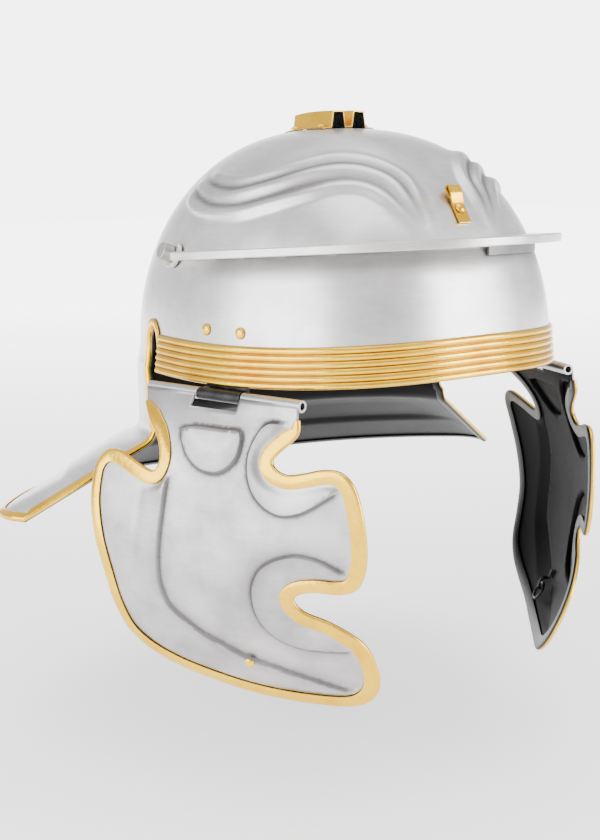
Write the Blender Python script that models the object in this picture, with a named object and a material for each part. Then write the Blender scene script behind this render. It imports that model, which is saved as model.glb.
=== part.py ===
"""Roman legionary helmet of beaten sheet steel with brass fittings.

Lengths are metres. The front is -Y, the wearer's left is +X and up is +Z. The origin is the
inside of the crown, where a head carries the helmet. All heights in this script are measured
from the rim, the plane of the brow band's lower edge, and one empty puts them in place.
"""
import math

import bmesh
import bpy
from mathutils import Matrix, Vector
from mathutils.bvhtree import BVHTree
from mathutils.geometry import delaunay_2d_cdt

# Bowl, on its outer face
SHEET = 0.0016
GAP = 0.0003
BOWL_HALF_WIDTH = 0.104
BOWL_FRONT = 0.1212
BOWL_REAR = 0.116
BOWL_HEIGHT = 0.1255
PLAN_POWER_FRONT = 2.43
PLAN_POWER_REAR = 2.17
DOME_START = 0.014
DOME_RISE_POWER = 1.92
DOME_ROUND_POWER = 2.46
WAIST = 0.98
CROWN_LEAN = 0.004
BROW_RISE = 0.0053
SHAPED_HEIGHT = 0.045

# Eyebrows raised on the brow
EYEBROW_RELIEF = 0.0026
EYEBROW_HALF_WIDTH = 0.0052

# Ear openings and neck guard
EAR_FRONT = 0.0188
EAR_WIDTH = 0.0166
EAR_HEIGHT = 0.0243
SKIRT_SIDE_DROP = 0.036
SKIRT_REAR_DROP = 0.043
BEND_RADIUS = 0.006
NECK_RADIUS = 0.178
NECK_SIDE_DROP = 0.040
NECK_REAR_DROP = 0.046
NECK_CORNER_ANGLE = 107.5
CORNER_REACH = 0.009
CORNER_CUT = 0.008
CORNER_SPAN = 6.0
NECK_RIDGE_RADIUS = 0.151
NECK_RELIEF = 0.0022

# Brass edging of the bowl
EDGING_WALL = 0.0005
EDGING_GAP = 0.0006
BOWL_EDGING_WIDTH = 0.0032
EAR_LIP = 0.0010

# Brow band
BAND_HEIGHT = 0.0200
BAND_THICKNESS = 0.0006
BAND_RIB = 0.0008
BAND_RIBS = 6

# Peak
PEAK_FRONT = 0.1355
PEAK_HALF_WIDTH = 0.1072
PEAK_THICKNESS = 0.0042
PEAK_HEIGHT = 0.0618
PEAK_TILT = 4.0
PEAK_END = -0.0055
PEAK_TIP = 0.0080
PEAK_CLEARANCE = 0.0008
LUG_RADIUS = 0.0058
LUG_THICKNESS = 0.0024
LUG_BACK = 0.0125
LUG_CLEARANCE = 0.0006
STUD_RADIUS = 0.0038
STUD_LENGTH = 0.0062
TAB_HEIGHT = 0.0048
TAB_THICKNESS = 0.0014
TAB_FROM = 7.0
TAB_TO = 35.0

# Crest holder
CREST_LENGTH = 0.035
CREST_BEHIND_CROWN = 0.008
CREST_SHEET = 0.0008
CHANNEL_BASE = 0.0082
CHANNEL_TOP = 0.0058
CHANNEL_HEIGHT = 0.0082
VALLEY_WIDTH = 0.0054
FLANGE_WIDTH = 0.0062
CREST_RIVET_SPACING = 0.0235

# Front hook
HOOK_SIDE = 0.003
HOOK_WIDTH = 0.0074
HOOK_SHEET = 0.0010
HOOK_LOW = 0.078
HOOK_LENGTH = 0.0190
HOOK_LIFT = 0.0032
HOOK_CLEARANCE = 0.0005
HOOK_RIVET_AT = 0.0074

# Rivets
BRASS_RIVET_RADIUS = 0.0030
BRASS_RIVET_RISE = 0.0017
CREST_RIVET_RADIUS = 0.0024
LEAF_RIVET_HEIGHT = 0.0270
LEAF_RIVET_SPACING = 0.0240

# Cheek guard hinge
HINGE_FRONT_SIDE = 0.0888
HINGE_FRONT_AT = -0.0930
HINGE_DROP = 0.0038
HINGE_LENGTH = 0.0990
HINGE_TURN = 15.9
KNUCKLE_RADIUS = 0.0030
KNUCKLE_BORE = 0.0017
PIN_RADIUS = 0.0014
PIN_INSET = 0.0035
MIDDLE_FROM = -0.0152
MIDDLE_TO = 0.0128
WINDOW_DROP = 0.0054
LEAF_SHEET = 0.0010
LEAF_HEIGHT = 0.0340
LEAF_TOP_FROM = -0.0200
LEAF_TOP_TO = 0.0110
LEAF_CLEARANCE = 0.0005

# Cheek guard plate
GUARD_SHEET = 0.0010
GUARD_WIDTH = 0.148
GUARD_DROP = 0.152
GUARD_LEAN = 0.653
GUARD_DISH = 0.1010
GUARD_FLARE = 0.226
GUARD_CURL = 0.0517
GUARD_TURN_DEPTH = 0.030
GUARD_CELL = 0.0115
GUARD_RELIEF = 0.0013
RELIEF_STEP = 0.0016
RELIEF_REACH = 0.012
OUTLINE_TURN = 9.0
GUARD_EDGING_WIDTH = 0.0052

# Chin tie, placed by shares of the guard's width and drop
TIE_ALONG = 0.154
TIE_DOWN = 0.843
TIE_STRAP_WIDTH = 0.0040
TIE_STRAP_SPAN = 0.0120
TIE_STRAP_SHEET = 0.0008
TIE_STRAP_RISE = 0.0034
TIE_STAND_OFF = 0.0008
TIE_RING_RADIUS = 0.0050
TIE_RING_WIRE = 0.0008
TIE_RING_TILT = 6.0

# Plan angle from the front, and height as a share of the bowl's height
EYEBROWS = (
    ((107, 0.820), (92, 0.790), (77, 0.793), (62, 0.832), (50, 0.865), (42, 0.876),
     (32, 0.870), (22, 0.842), (15, 0.790), (13.5, 0.715), (13.5, 0.650), (14.5, 0.590)),
    ((113, 0.785), (99, 0.748), (87, 0.726), (77, 0.733), (64, 0.770), (52, 0.813), (41, 0.831),
     (31, 0.822), (22.5, 0.784), (18.5, 0.722), (16, 0.655), (14.8, 0.590)),
    ((112, 0.740), (100, 0.685), (88, 0.660), (74, 0.665), (64, 0.695), (53, 0.733), (43, 0.764),
     (36, 0.768), (30, 0.752), (24.5, 0.711), (20, 0.655), (16, 0.600)),
)

# Ear opening from its front foot over the arch, as shares of its width and height
EAR_ARCH = (
    (0.000, 0.000), (0.030, 0.480), (0.150, 0.820), (0.430, 1.000),
    (0.760, 0.930), (0.965, 0.680), (1.000, 0.340), (0.920, 0.000),
)

# Rear edge of the ear opening down to the bend: share of the skirt's drop, share of ear width
EAR_REAR_EDGE = (
    (0.00, 0.920), (0.25, 0.770), (0.50, 0.640), (0.75, 0.520), (1.00, 0.350),
)

# Cheek guard outline from the rear end of the hinge, down and round to its front end, as
# shares of the guard's width from the hinge's middle and of its drop
GUARD_OUTLINE = (
    (-0.298, 0.040), (-0.245, 0.090), (-0.192, 0.130), (-0.156, 0.180), (-0.150, 0.222),
    (-0.180, 0.246), (-0.290, 0.215), (-0.352, 0.200), (-0.400, 0.210), (-0.430, 0.250),
    (-0.432, 0.310), (-0.365, 0.598), (-0.346, 0.705), (-0.316, 0.800), (-0.250, 0.865),
    (-0.146, 0.913), (0.000, 0.953), (0.150, 0.985), (0.300, 0.999), (0.420, 0.997),
    (0.485, 0.965), (0.525, 0.905), (0.536, 0.824), (0.515, 0.745), (0.442, 0.684),
    (0.365, 0.648), (0.336, 0.606), (0.358, 0.576), (0.410, 0.565), (0.480, 0.567),
    (0.525, 0.550), (0.550, 0.500), (0.558, 0.420), (0.525, 0.235), (0.485, 0.193),
    (0.430, 0.190), (0.320, 0.213), (0.276, 0.198), (0.257, 0.168), (0.275, 0.138),
    (0.314, 0.103), (0.336, 0.075), (0.334, 0.040),
)

# Creases of the guard's relief, in the same shares. The plate is raised on the left of each one
# as it runs, seen with the share of the drop pointing up.
CREASE_HIGH = ((0.264, 0.050), (0.232, 0.054), (0.200, 0.082), (0.177, 0.143), (0.180, 0.205),
               (0.205, 0.266), (0.248, 0.311), (0.302, 0.335), (0.352, 0.331), (0.400, 0.310),
               (0.482, 0.251))
CREASE_LOW = ((0.506, 0.506), (0.468, 0.484), (0.429, 0.464), (0.382, 0.452), (0.340, 0.452),
              (0.283, 0.472), (0.238, 0.509), (0.213, 0.565), (0.209, 0.621), (0.219, 0.677),
              (0.246, 0.723), (0.290, 0.757), (0.342, 0.775), (0.403, 0.780), (0.477, 0.779))
CREASE_LONG = ((0.453, 0.939), (0.324, 0.888), (0.240, 0.857), (0.159, 0.829), (0.096, 0.796),
               (0.025, 0.759), (-0.047, 0.706), (-0.091, 0.663), (-0.111, 0.601),
               (-0.113, 0.538), (-0.106, 0.437), (-0.100, 0.348), (-0.101, 0.254))
CREASE_PAD = ((-0.078, 0.153), (-0.040, 0.192), (0.013, 0.221), (0.076, 0.227), (0.121, 0.204),
              (0.148, 0.159), (0.137, 0.092), (0.051, 0.088), (-0.044, 0.088), (-0.111, 0.101))


def clear_scene():
    """Empty the file before the helmet is built."""
    for item in list(bpy.data.objects):
        bpy.data.objects.remove(item, do_unlink=True)


def make_material(name, colour, roughness, metallic=1.0):
    """A plain finish for one kind of metal."""
    material = bpy.data.materials.new(name)
    material.use_nodes = True
    shader = material.node_tree.nodes["Principled BSDF"]
    shader.inputs["Base Color"].default_value = (*colour, 1.0)
    shader.inputs["Roughness"].default_value = roughness
    shader.inputs["Metallic"].default_value = metallic
    return material


def make_empty(name, place, parent=None):
    """An empty that carries pieces, at a place measured in its parent's space."""
    empty = bpy.data.objects.new(name, None)
    empty.location = place
    empty.parent = parent
    bpy.context.scene.collection.objects.link(empty)
    return empty


def make_object(name, bm, material, carrier, solid=0.0):
    """Turn a bmesh in rim space into a named object under the empty that carries it."""
    offset = Vector((0, 0, 0)) if carrier.parent is None else carrier.location
    bmesh.ops.translate(bm, verts=bm.verts, vec=-offset)
    mesh = bpy.data.meshes.new(name)
    bm.to_mesh(mesh)
    bm.free()
    mesh.shade_smooth()
    mesh.set_sharp_from_angle(angle=math.radians(35))
    mesh.materials.append(material)
    item = bpy.data.objects.new(name, mesh)
    item.parent = carrier
    bpy.context.scene.collection.objects.link(item)
    if solid:
        wall = item.modifiers.new("Wall", "SOLIDIFY")
        wall.thickness = solid
        wall.offset = -1.0
        wall.use_even_offset = True
        wall.use_quality_normals = True
    return item


def add_cutter(name, bm, carrier):
    """A hidden shape for a Boolean."""
    offset = Vector((0, 0, 0)) if carrier.parent is None else carrier.location
    bmesh.ops.translate(bm, verts=bm.verts, vec=-offset)
    mesh = bpy.data.meshes.new(name)
    bm.to_mesh(mesh)
    bm.free()
    item = bpy.data.objects.new(name, mesh)
    item.parent = carrier
    item.hide_render = True
    item.display_type = "WIRE"
    bpy.context.scene.collection.objects.link(item)
    return item


def join_shape(item, other):
    """Unite a piece with a hidden shape."""
    union = item.modifiers.new("Join", "BOOLEAN")
    union.operation = "UNION"
    union.solver = "EXACT"
    union.object = other


def blend(low, high, share):
    """A value between two others."""
    return low + (high - low) * share


def ease(share):
    """A smooth step from 0 to 1."""
    share = min(max(share, 0.0), 1.0)
    return share * share * (3 - 2 * share)


def curve_through(points, steps):
    """Points on a smooth curve through the given ones, with the same number in each stretch."""
    points = [Vector(p) for p in points]
    first = points[0] * 2 - points[1]
    last = points[-1] * 2 - points[-2]
    padded = [first] + points + [last]
    curve = []
    for i in range(len(points) - 1):
        a, b, c, d = padded[i:i + 4]
        for k in range(steps):
            t = k / steps
            curve.append(0.5 * (2 * b + (c - a) * t + (2 * a - 5 * b + 4 * c - d) * t * t
                                + (3 * b - a - 3 * c + d) * t ** 3))
    curve.append(points[-1])
    return curve


def distance_to_line(point, line):
    """Shortest distance from a point to a chain of points, and how far along the chain it is."""
    best = (1e9, 0.0)
    for i in range(len(line) - 1):
        start = line[i]
        along = line[i + 1] - start
        share = min(max((point - start).dot(along) / along.length_squared, 0.0), 1.0)
        gap = (point - start - along * share).length
        if gap < best[0]:
            best = (gap, (i + share) / (len(line) - 1))
    return best


def face_outwards(bm):
    """Point a closed body's faces away from its inside."""
    bmesh.ops.recalc_face_normals(bm, faces=bm.faces)
    if bm.calc_volume(signed=True) < 0:
        bmesh.ops.reverse_faces(bm, faces=bm.faces)


def skin_rings(bm, rings, closed=False):
    """Skin rings of the same number of points, and cap the ends of an open row of rings."""
    rows = [[bm.verts.new(p) for p in ring] for ring in rings]
    pairs = list(zip(rows, rows[1:]))
    if closed:
        pairs.append((rows[-1], rows[0]))
    for low, high in pairs:
        for i in range(len(low)):
            j = (i + 1) % len(low)
            bm.faces.new((low[i], low[j], high[j], high[i]))
    if not closed:
        bm.faces.new(list(reversed(rows[0])))
        bm.faces.new(rows[-1])
    face_outwards(bm)
    bm.normal_update()
    bmesh.ops.triangulate(bm, faces=bm.faces)


def frame_matrix(place, along, outward):
    """A matrix whose Z is outward and whose X runs along."""
    z = outward.normalized()
    x = (along - z * along.dot(z)).normalized()
    y = z.cross(x)
    turn = Matrix((x, y, z)).transposed().to_4x4()
    return Matrix.Translation(place) @ turn


def plan_point(angle):
    """Point of the bowl's outline at the rim, at an angle from the front, and its outward side."""
    def at(degrees):
        s = math.sin(math.radians(degrees))
        c = math.cos(math.radians(degrees))
        power = PLAN_POWER_FRONT if c >= 0 else PLAN_POWER_REAR
        length = BOWL_FRONT if c >= 0 else BOWL_REAR
        k = (abs(s) ** power + abs(c) ** power) ** (-1 / power)
        return Vector((BOWL_HALF_WIDTH * s * k, -length * c * k, 0))
    along = at(angle + 0.1) - at(angle - 0.1)
    return at(angle), Vector((-along.y, along.x, 0)).normalized() * -1


def share_at(height):
    """The bowl's plan at a height, as a share of the plan at the rim."""
    if height <= 0:
        return 1.0
    if height < DOME_START:
        rest = 1 - height / DOME_START
        return WAIST * (1 + (1 / WAIST - 1) * rest * rest)
    t = min((height - DOME_START) / (BOWL_HEIGHT - DOME_START), 1.0)
    return WAIST * (1 - t ** DOME_RISE_POWER) ** (1 / DOME_ROUND_POWER)


def bowl_point(angle, height):
    """Point on the bowl's outer face, without its relief."""
    place, outward = plan_point(angle)
    place = place * share_at(height)
    place.y -= CROWN_LEAN * (max(height, 0.0) / BOWL_HEIGHT) ** 2
    place.z = height
    return place


def bowl_normal(angle, height):
    """Outward direction of the bowl's outer face."""
    step = 0.0002
    top = min(height + step, BOWL_HEIGHT - 0.00001)
    up = bowl_point(angle, top) - bowl_point(angle, top - 2 * step)
    side = bowl_point(angle + 0.2, height) - bowl_point(angle - 0.2, height)
    normal = side.cross(up)
    return normal.normalized()


def rim_height(angle):
    """Height of the bowl's lower edge, which rises a little at the front."""
    c = math.cos(math.radians(angle))
    return BROW_RISE * c * c if c > 0 else 0.0


def eyebrow_lines():
    """Middle lines of the raised eyebrows, laid out flat."""
    lines = []
    for row in EYEBROWS:
        flat = [(flatten(angle, share * BOWL_HEIGHT)) for angle, share in row]
        lines.append(curve_through(flat, 3))
    return lines


def flatten(angle, height):
    """Lay a place of the brow out flat, in metres."""
    return Vector((math.radians(angle) * BOWL_HALF_WIDTH * 0.74, height * 1.33, 0))


def eyebrow_relief(angle, height, lines):
    """How far the brow is raised at a place."""
    if angle > 180:
        angle = 360 - angle
    place = flatten(angle, height)
    relief = 0.0
    for line in lines:
        gap, along = distance_to_line(place, line)
        if gap < EYEBROW_HALF_WIDTH:
            round_top = 0.5 + 0.5 * math.cos(math.pi * gap / EYEBROW_HALF_WIDTH)
            taper = ease(min(along / 0.10, (1.04 - along) / 0.30))
            relief = max(relief, EYEBROW_RELIEF * round_top * taper)
    return relief


def ear_point(across, up):
    """Plan angle and height of a place of the ear opening, from shares of its width and height."""
    back = EAR_FRONT + EAR_WIDTH * across
    share = share_at(EAR_HEIGHT * up)
    low, high = 90.0, 130.0
    for step in range(30):
        middle = (low + high) / 2
        if plan_point(middle)[0].y * share < back:
            low = middle
        else:
            high = middle
    return low, EAR_HEIGHT * up


def bowl_columns():
    """Angles of the bowl's grid columns: at the dome, at the foot, and the foot's height."""
    ear = [ear_point(*row) for row in EAR_ARCH]
    front_count, rear_count = 17, 7
    ear_first, ear_step = 87.0, 4.5
    columns = []
    for i in range(front_count):
        dome = ear_first * i / front_count
        foot = ear[0][0] * i / front_count
        columns.append((dome, foot, rim_height(foot)))
    for i, (foot, height) in enumerate(ear):
        columns.append((ear_first + ear_step * i, foot, height))
    last_dome = ear_first + ear_step * (len(ear) - 1)
    for i in range(1, rear_count + 1):
        share = i / rear_count
        columns.append((blend(last_dome, 180, share), blend(ear[-1][0], 180, share), 0.0))
    return columns, front_count, front_count + len(ear) - 1


def dome_heights():
    """Heights of the bowl's grid rows above the shaped lower part, from the crown down."""
    turns = (83, 75, 69, 64, 60, 56, 52, 48, 44, 40, 36, 32, 26)
    heights = []
    for turn in turns:
        rise = math.sin(math.radians(turn)) ** (2 / DOME_RISE_POWER)
        heights.append(DOME_START + (BOWL_HEIGHT - DOME_START) * rise)
    return heights + [SHAPED_HEIGHT]


def skirt_drop(angle):
    """Depth of the bend between the bowl's rear wall and the neck guard."""
    c = math.cos(math.radians(angle))
    return blend(SKIRT_SIDE_DROP, SKIRT_REAR_DROP, c * c)


def neck_edge(share, angle):
    """Point of the neck guard's outer edge, from the side edge at 0 to the rear at 1."""
    turn = blend(NECK_CORNER_ANGLE, 180.0, share)
    near_corner = max(0.0, 1 - (turn - NECK_CORNER_ANGLE) / CORNER_SPAN)
    radius = NECK_RADIUS + CORNER_REACH * (1 - share) ** 3 - CORNER_CUT * near_corner ** 2
    drop = skirt_drop(angle) + blend(NECK_SIDE_DROP, NECK_REAR_DROP, share)
    a = math.radians(turn)
    return Vector((radius * math.sin(a), -radius * math.cos(a), -drop))


def skirt_column(share):
    """Points down one column of the rear skirt and neck guard, from the rim to the outer edge."""
    points = []
    ear_angle = {}
    for drop_share, across in EAR_REAR_EDGE:
        ear_angle[drop_share] = ear_point(across, 0.0)[0]
    for drop_share, across in EAR_REAR_EDGE[:-1]:
        angle = blend(ear_angle[drop_share], 180, share)
        place = plan_point(angle)[0]
        place.z = -skirt_drop(angle) * drop_share
        points.append(place)
    angle = blend(ear_angle[1.00], 180, share)
    bend = plan_point(angle)[0]
    bend.z = -skirt_drop(angle)
    edge = neck_edge(share, angle)
    slope = (edge - bend)
    above = bend + Vector((0, 0, BEND_RADIUS))
    below = bend + slope.normalized() * BEND_RADIUS
    points += [above, (above + bend * 2 + below) / 4, below]
    side = Vector((-slope.y, slope.x, 0))
    lift = slope.cross(side).normalized()
    if lift.z < 0:
        lift = -lift
    for along in (0.22, 0.36, 0.47, 0.55, 0.63, 0.80, 1.00):
        place = bend + slope * along
        radius = math.hypot(place.x, place.y)
        inside = ease((NECK_RIDGE_RADIUS - radius) / 0.006 + 0.5)
        fade = ease(share / 0.22) * ease(along / 0.25)
        points.append(place + lift * NECK_RELIEF * inside * fade)
    return points


def build_bowl(material, carrier):
    """One sheet: the dome, its ear openings, the rear skirt and the neck guard."""
    lines = eyebrow_lines()
    columns, ear_first, ear_last = bowl_columns()
    count = 2 * (len(columns) - 1)
    heights = dome_heights()
    feet = (0.70, 0.36, 0.0)
    bm = bmesh.new()

    def column_at(index):
        """The column's table row, and whether it lies on the wearer's right."""
        if index < len(columns):
            return columns[index], False
        return columns[count - index], True

    def mirrored(place, right):
        return Vector((-place.x, place.y, place.z)) if right else place

    grid = []
    for height in heights:
        row = []
        for index in range(count):
            (dome, foot, low), right = column_at(index)
            place = bowl_point(dome, height)
            place += bowl_normal(dome, height) * eyebrow_relief(dome, height, lines)
            row.append(bm.verts.new(mirrored(place, right)))
        grid.append(row)
    for share in feet:
        row = []
        for index in range(count):
            (dome, foot, low), right = column_at(index)
            height = blend(low, SHAPED_HEIGHT, share)
            angle = blend(foot, dome, ease(share))
            row.append(bm.verts.new(mirrored(bowl_point(angle, height), right)))
        grid.append(row)
    crown = bm.verts.new((0, -CROWN_LEAN, BOWL_HEIGHT))
    for i in range(count):
        j = (i + 1) % count
        bm.faces.new((crown, grid[0][i], grid[0][j]))
        for upper, lower in zip(grid, grid[1:]):
            bm.faces.new((upper[i], lower[i], lower[j], upper[j]))

    rear = range(ear_last, count - ear_last + 1)
    half = len(columns) - 1 - ear_last
    skirt = []
    for index in rear:
        step = index - ear_last
        right = step > half
        share = (2 * half - step if right else step) / half
        column = [mirrored(p, right) for p in skirt_column(share)]
        verts = [grid[-1][index]] + [bm.verts.new(p) for p in column[1:]]
        skirt.append(verts)
    for left, right in zip(skirt, skirt[1:]):
        for k in range(len(left) - 1):
            bm.faces.new((left[k], left[k + 1], right[k + 1], right[k]))
    bmesh.ops.recalc_face_normals(bm, faces=bm.faces)
    bm.normal_update()
    top = max(bm.faces, key=lambda f: f.calc_center_median().z)
    if top.normal.z < 0:
        bmesh.ops.reverse_faces(bm, faces=bm.faces)

    bm.normal_update()
    bmesh.ops.triangulate(bm, faces=bm.faces)

    # The sheet's free edge from ear foot to rear middle: vertex, next one inward, outer lip
    bm.normal_update()
    chain = []
    for index in range(ear_first, ear_last):
        lip = EAR_LIP if index < ear_first + 2 else BOWL_EDGING_WIDTH
        chain.append((grid[-1][index], grid[-2][index], lip))
    for k in range(len(skirt[0]) - 1):
        chain.append((skirt[0][k], skirt[1][k], BOWL_EDGING_WIDTH))
    chain.append((skirt[0][-1], skirt[1][-2], BOWL_EDGING_WIDTH))
    for column in skirt[1:len(skirt) // 2 + 1]:
        chain.append((column[-1], column[-2], BOWL_EDGING_WIDTH))
    edge = []
    for vert, inner, lip in chain:
        edge.append((vert.co.copy(), inner.co - vert.co, vert.normal.copy(), lip))
    other = []
    for place, inward, normal, lip in edge[:-1]:
        other.append((mirrored(place, True), mirrored(inward, True), mirrored(normal, True), lip))
    tree = BVHTree.FromBMesh(bm)
    make_object("bowl", bm, material, carrier, SHEET)
    return edge + other[::-1], tree


def channel_section(place, inward, normal, lip, tree):
    """Eight points of a folded strip round the sheet's edge, from its outer lip inward."""
    inner = SHEET / 2 + EDGING_GAP
    outer = inner + EDGING_WALL
    middle = place - normal * (SHEET / 2)

    def lip_point(width, depth):
        foot, side = tree.find_nearest(place + inward * width)[:2]
        if side.dot(normal) < 0:
            side = -side
        return foot + (side + normal).normalized() * depth
    high = EDGING_GAP + EDGING_WALL
    low = SHEET + EDGING_GAP
    width = BOWL_EDGING_WIDTH
    fold = GAP + EDGING_WALL
    return [lip_point(lip, high), middle - inward * fold + normal * outer,
            middle - inward * fold - normal * outer,
            lip_point(width, -low - EDGING_WALL), lip_point(width, -low),
            middle - inward * GAP - normal * inner, middle - inward * GAP + normal * inner,
            lip_point(lip, EDGING_GAP)]


def build_bowl_edging(edge, tree, material, carrier):
    """Folded brass strip round the ear openings and the neck guard."""
    rings = []
    for i, (place, hint, normal, lip) in enumerate(edge):
        before = (place - edge[max(i - 1, 0)][0]).normalized()
        after = (edge[min(i + 1, len(edge) - 1)][0] - place).normalized()
        along = (before + after).normalized()
        inward = hint - normal * hint.dot(normal)
        inward = (inward - along * inward.dot(along)).normalized()
        rings.append(channel_section(place, inward, normal, lip, tree))
    bm = bmesh.new()
    skin_rings(bm, rings)
    make_object("bowl_edging", bm, material, carrier)


def band_point(angle, share, out):
    """Point of the brow band, which stands straight between the rim and its upper edge."""
    low = bowl_point(angle, rim_height(angle))
    high = bowl_point(angle, rim_height(angle) + BAND_HEIGHT)
    outward = plan_point(angle)[1]
    return low.lerp(high, share) + outward * (GAP + out)


def build_brow_band(material, carrier):
    """Ribbed brass band round the front, from ear to ear."""
    end = ear_point(-(EAR_LIP + GAP) / EAR_WIDTH, 0.0)[0]
    stations = 30
    bm = bmesh.new()
    rings = []
    for i in range(stations + 1):
        angle = blend(-end, end, i / stations)
        ring = []
        for k in range(2 * BAND_RIBS + 1):
            out = BAND_THICKNESS + (BAND_RIB if k % 2 else 0.0)
            ring.append(band_point(angle, k / (2 * BAND_RIBS), out))
        ring.append(band_point(angle, 1.0, 0.0))
        ring.append(band_point(angle, 0.0, 0.0))
        rings.append(ring)
    skin_rings(bm, rings)
    make_object("brow_band", bm, material, carrier)


def peak_height(place_y):
    """Height of the middle of the tilted peak."""
    return PEAK_HEIGHT - math.tan(math.radians(PEAK_TILT)) * place_y


def bowl_angle_at(back, height):
    """Plan angle at which the bowl's side lies at a place along Y."""
    low, high = 1.0, 179.0
    for step in range(34):
        middle = (low + high) / 2
        if bowl_point(middle, height).y < back:
            low = middle
        else:
            high = middle
    return low


def build_peak(material, carrier):
    """Flat bar across the brow, with a round lug at each end that lies on the bowl."""
    end_angle = bowl_angle_at(PEAK_END, peak_height(PEAK_END))
    tip_angle = bowl_angle_at(PEAK_TIP, peak_height(PEAK_TIP))
    stations = 32
    angles = [blend(-end_angle, end_angle, i / stations) for i in range(stations + 1)]
    rings = []
    for angle in [-tip_angle] + angles + [tip_angle]:
        inner = bowl_point(angle, PEAK_HEIGHT)
        for step in range(3):
            inner = bowl_point(angle, peak_height(inner.y) - PEAK_THICKNESS / 2)
        outward = plan_point(angle)[1]
        inner += outward * PEAK_CLEARANCE
        s = math.sin(math.radians(angle))
        c = math.cos(math.radians(angle))
        outer = Vector((PEAK_HALF_WIDTH * s, -PEAK_FRONT * c, 0))
        if abs(angle) == tip_angle:
            outer = inner + outward * LUG_THICKNESS
        ring = []
        for place, level in ((inner, -1), (outer, -1), (outer, 1), (inner, 1)):
            z = peak_height(place.y) + level * PEAK_THICKNESS / 2
            ring.append(Vector((place.x, place.y, z)))
        rings.append(ring)
    bm = bmesh.new()
    skin_rings(bm, rings)
    peak = make_object("peak", bm, material, carrier)
    for side, word in ((-1, "right"), (1, "left")):
        height = peak_height(LUG_BACK)
        angle = bowl_angle_at(LUG_BACK, height)
        normal = bowl_normal(angle, height)
        place = bowl_point(angle, height) + normal * (LUG_CLEARANCE + LUG_THICKNESS / 2)
        place.x *= side
        normal.x *= side
        disc = bmesh.new()
        bmesh.ops.create_cone(disc, cap_ends=True, segments=20, radius1=LUG_RADIUS,
                              radius2=LUG_RADIUS, depth=LUG_THICKNESS,
                              matrix=frame_matrix(place, Vector((0, 1, 0)), normal))
        join_shape(peak, add_cutter("lug_shape_" + word, disc, carrier))
        head = bmesh.new()
        seat = place + normal * (LUG_THICKNESS / 2 + GAP + STUD_LENGTH / 2)
        bmesh.ops.create_cone(head, cap_ends=True, segments=12, radius1=STUD_RADIUS,
                              radius2=STUD_RADIUS * 0.94, depth=STUD_LENGTH,
                              matrix=frame_matrix(seat, Vector((0, 1, 0)), normal))
        make_object("peak_stud_" + word, head, material, carrier)


def build_peak_tab(material, carrier):
    """Plain strip that stands under the peak beside its middle, against the bowl."""
    rings = []
    stations = 7
    for i in range(stations + 1):
        angle = blend(TAB_FROM, TAB_TO, i / stations)
        place = bowl_point(angle, PEAK_HEIGHT)
        for step in range(3):
            place = bowl_point(angle, peak_height(place.y) - PEAK_THICKNESS / 2 - TAB_HEIGHT)
        outward = plan_point(angle)[1]
        near = place + outward * GAP
        far = near + outward * TAB_THICKNESS
        ring = []
        for spot, lift in ((near, 0.0), (far, 0.0), (far, 1.0), (near, 1.0)):
            top = peak_height(spot.y) - PEAK_THICKNESS / 2 - GAP
            ring.append(Vector((spot.x, spot.y, blend(place.z, top, lift))))
        rings.append(ring)
    bm = bmesh.new()
    skin_rings(bm, rings)
    make_object("peak_tab", bm, material, carrier)


def build_crest_holder(material, carrier):
    """Brass sheet folded into two open channels that run front to back on the crown."""
    slope = (CHANNEL_BASE - CHANNEL_TOP) / 2
    start = VALLEY_WIDTH / 2
    half = [(start, 0.0), (start + slope, CHANNEL_HEIGHT),
            (start + slope + CHANNEL_TOP, CHANNEL_HEIGHT), (start + CHANNEL_BASE, 0.0),
            (start + CHANNEL_BASE + FLANGE_WIDTH, 0.0)]
    line = [(-x, z) for x, z in reversed(half)] + half
    upper = []
    for i, (x, z) in enumerate(line):
        before = Vector(line[max(i - 1, 0)])
        after = Vector(line[min(i + 1, len(line) - 1)])
        here = Vector((x, z))
        first = (here - before).normalized() if i else (after - here).normalized()
        second = (after - here).normalized() if i < len(line) - 1 else first
        bisector = Vector((-(first + second).y, (first + second).x)).normalized()
        reach = CREST_SHEET / max(bisector.dot(Vector((-first.y, first.x))), 0.3)
        upper.append((x + bisector.x * reach, z + bisector.y * reach))
    section = line + upper[::-1]
    stations = 5
    crest_middle = CREST_BEHIND_CROWN - CROWN_LEAN
    rings = []
    for i in range(stations + 1):
        y = crest_middle + blend(-CREST_LENGTH / 2, CREST_LENGTH / 2, i / stations)
        ring = []
        for x, z in section:
            ring.append(Vector((x, y, crown_height(x, y) + GAP + z)))
        rings.append(ring)
    bm = bmesh.new()
    skin_rings(bm, rings)
    make_object("crest_holder", bm, material, carrier)
    side = start + CHANNEL_BASE + FLANGE_WIDTH * 0.56
    number = 1
    for x in (-side, side):
        for end in (-0.5, 0.5):
            y = crest_middle + CREST_RIVET_SPACING * end
            place = Vector((x, y, crown_height(x, y) + CREST_SHEET + GAP))
            across = crown_height(x - 0.001, y) - crown_height(x + 0.001, y)
            along = crown_height(x, y - 0.001) - crown_height(x, y + 0.001)
            build_rivet("crest_rivet_%d" % number, place,
                        Vector((across, along, 0.002)).normalized(),
                        CREST_RIVET_RADIUS, material, carrier)
            number += 1


def crown_height(x, y):
    """Height of the crown's outer face over a place near its middle."""
    back = y + CROWN_LEAN
    length = BOWL_REAR if back > 0 else BOWL_FRONT
    share = min(math.hypot(x / BOWL_HALF_WIDTH, back / length) / WAIST, 0.9)
    rise = (1 - share ** DOME_ROUND_POWER) ** (1 / DOME_RISE_POWER)
    return DOME_START + (BOWL_HEIGHT - DOME_START) * rise


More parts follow.
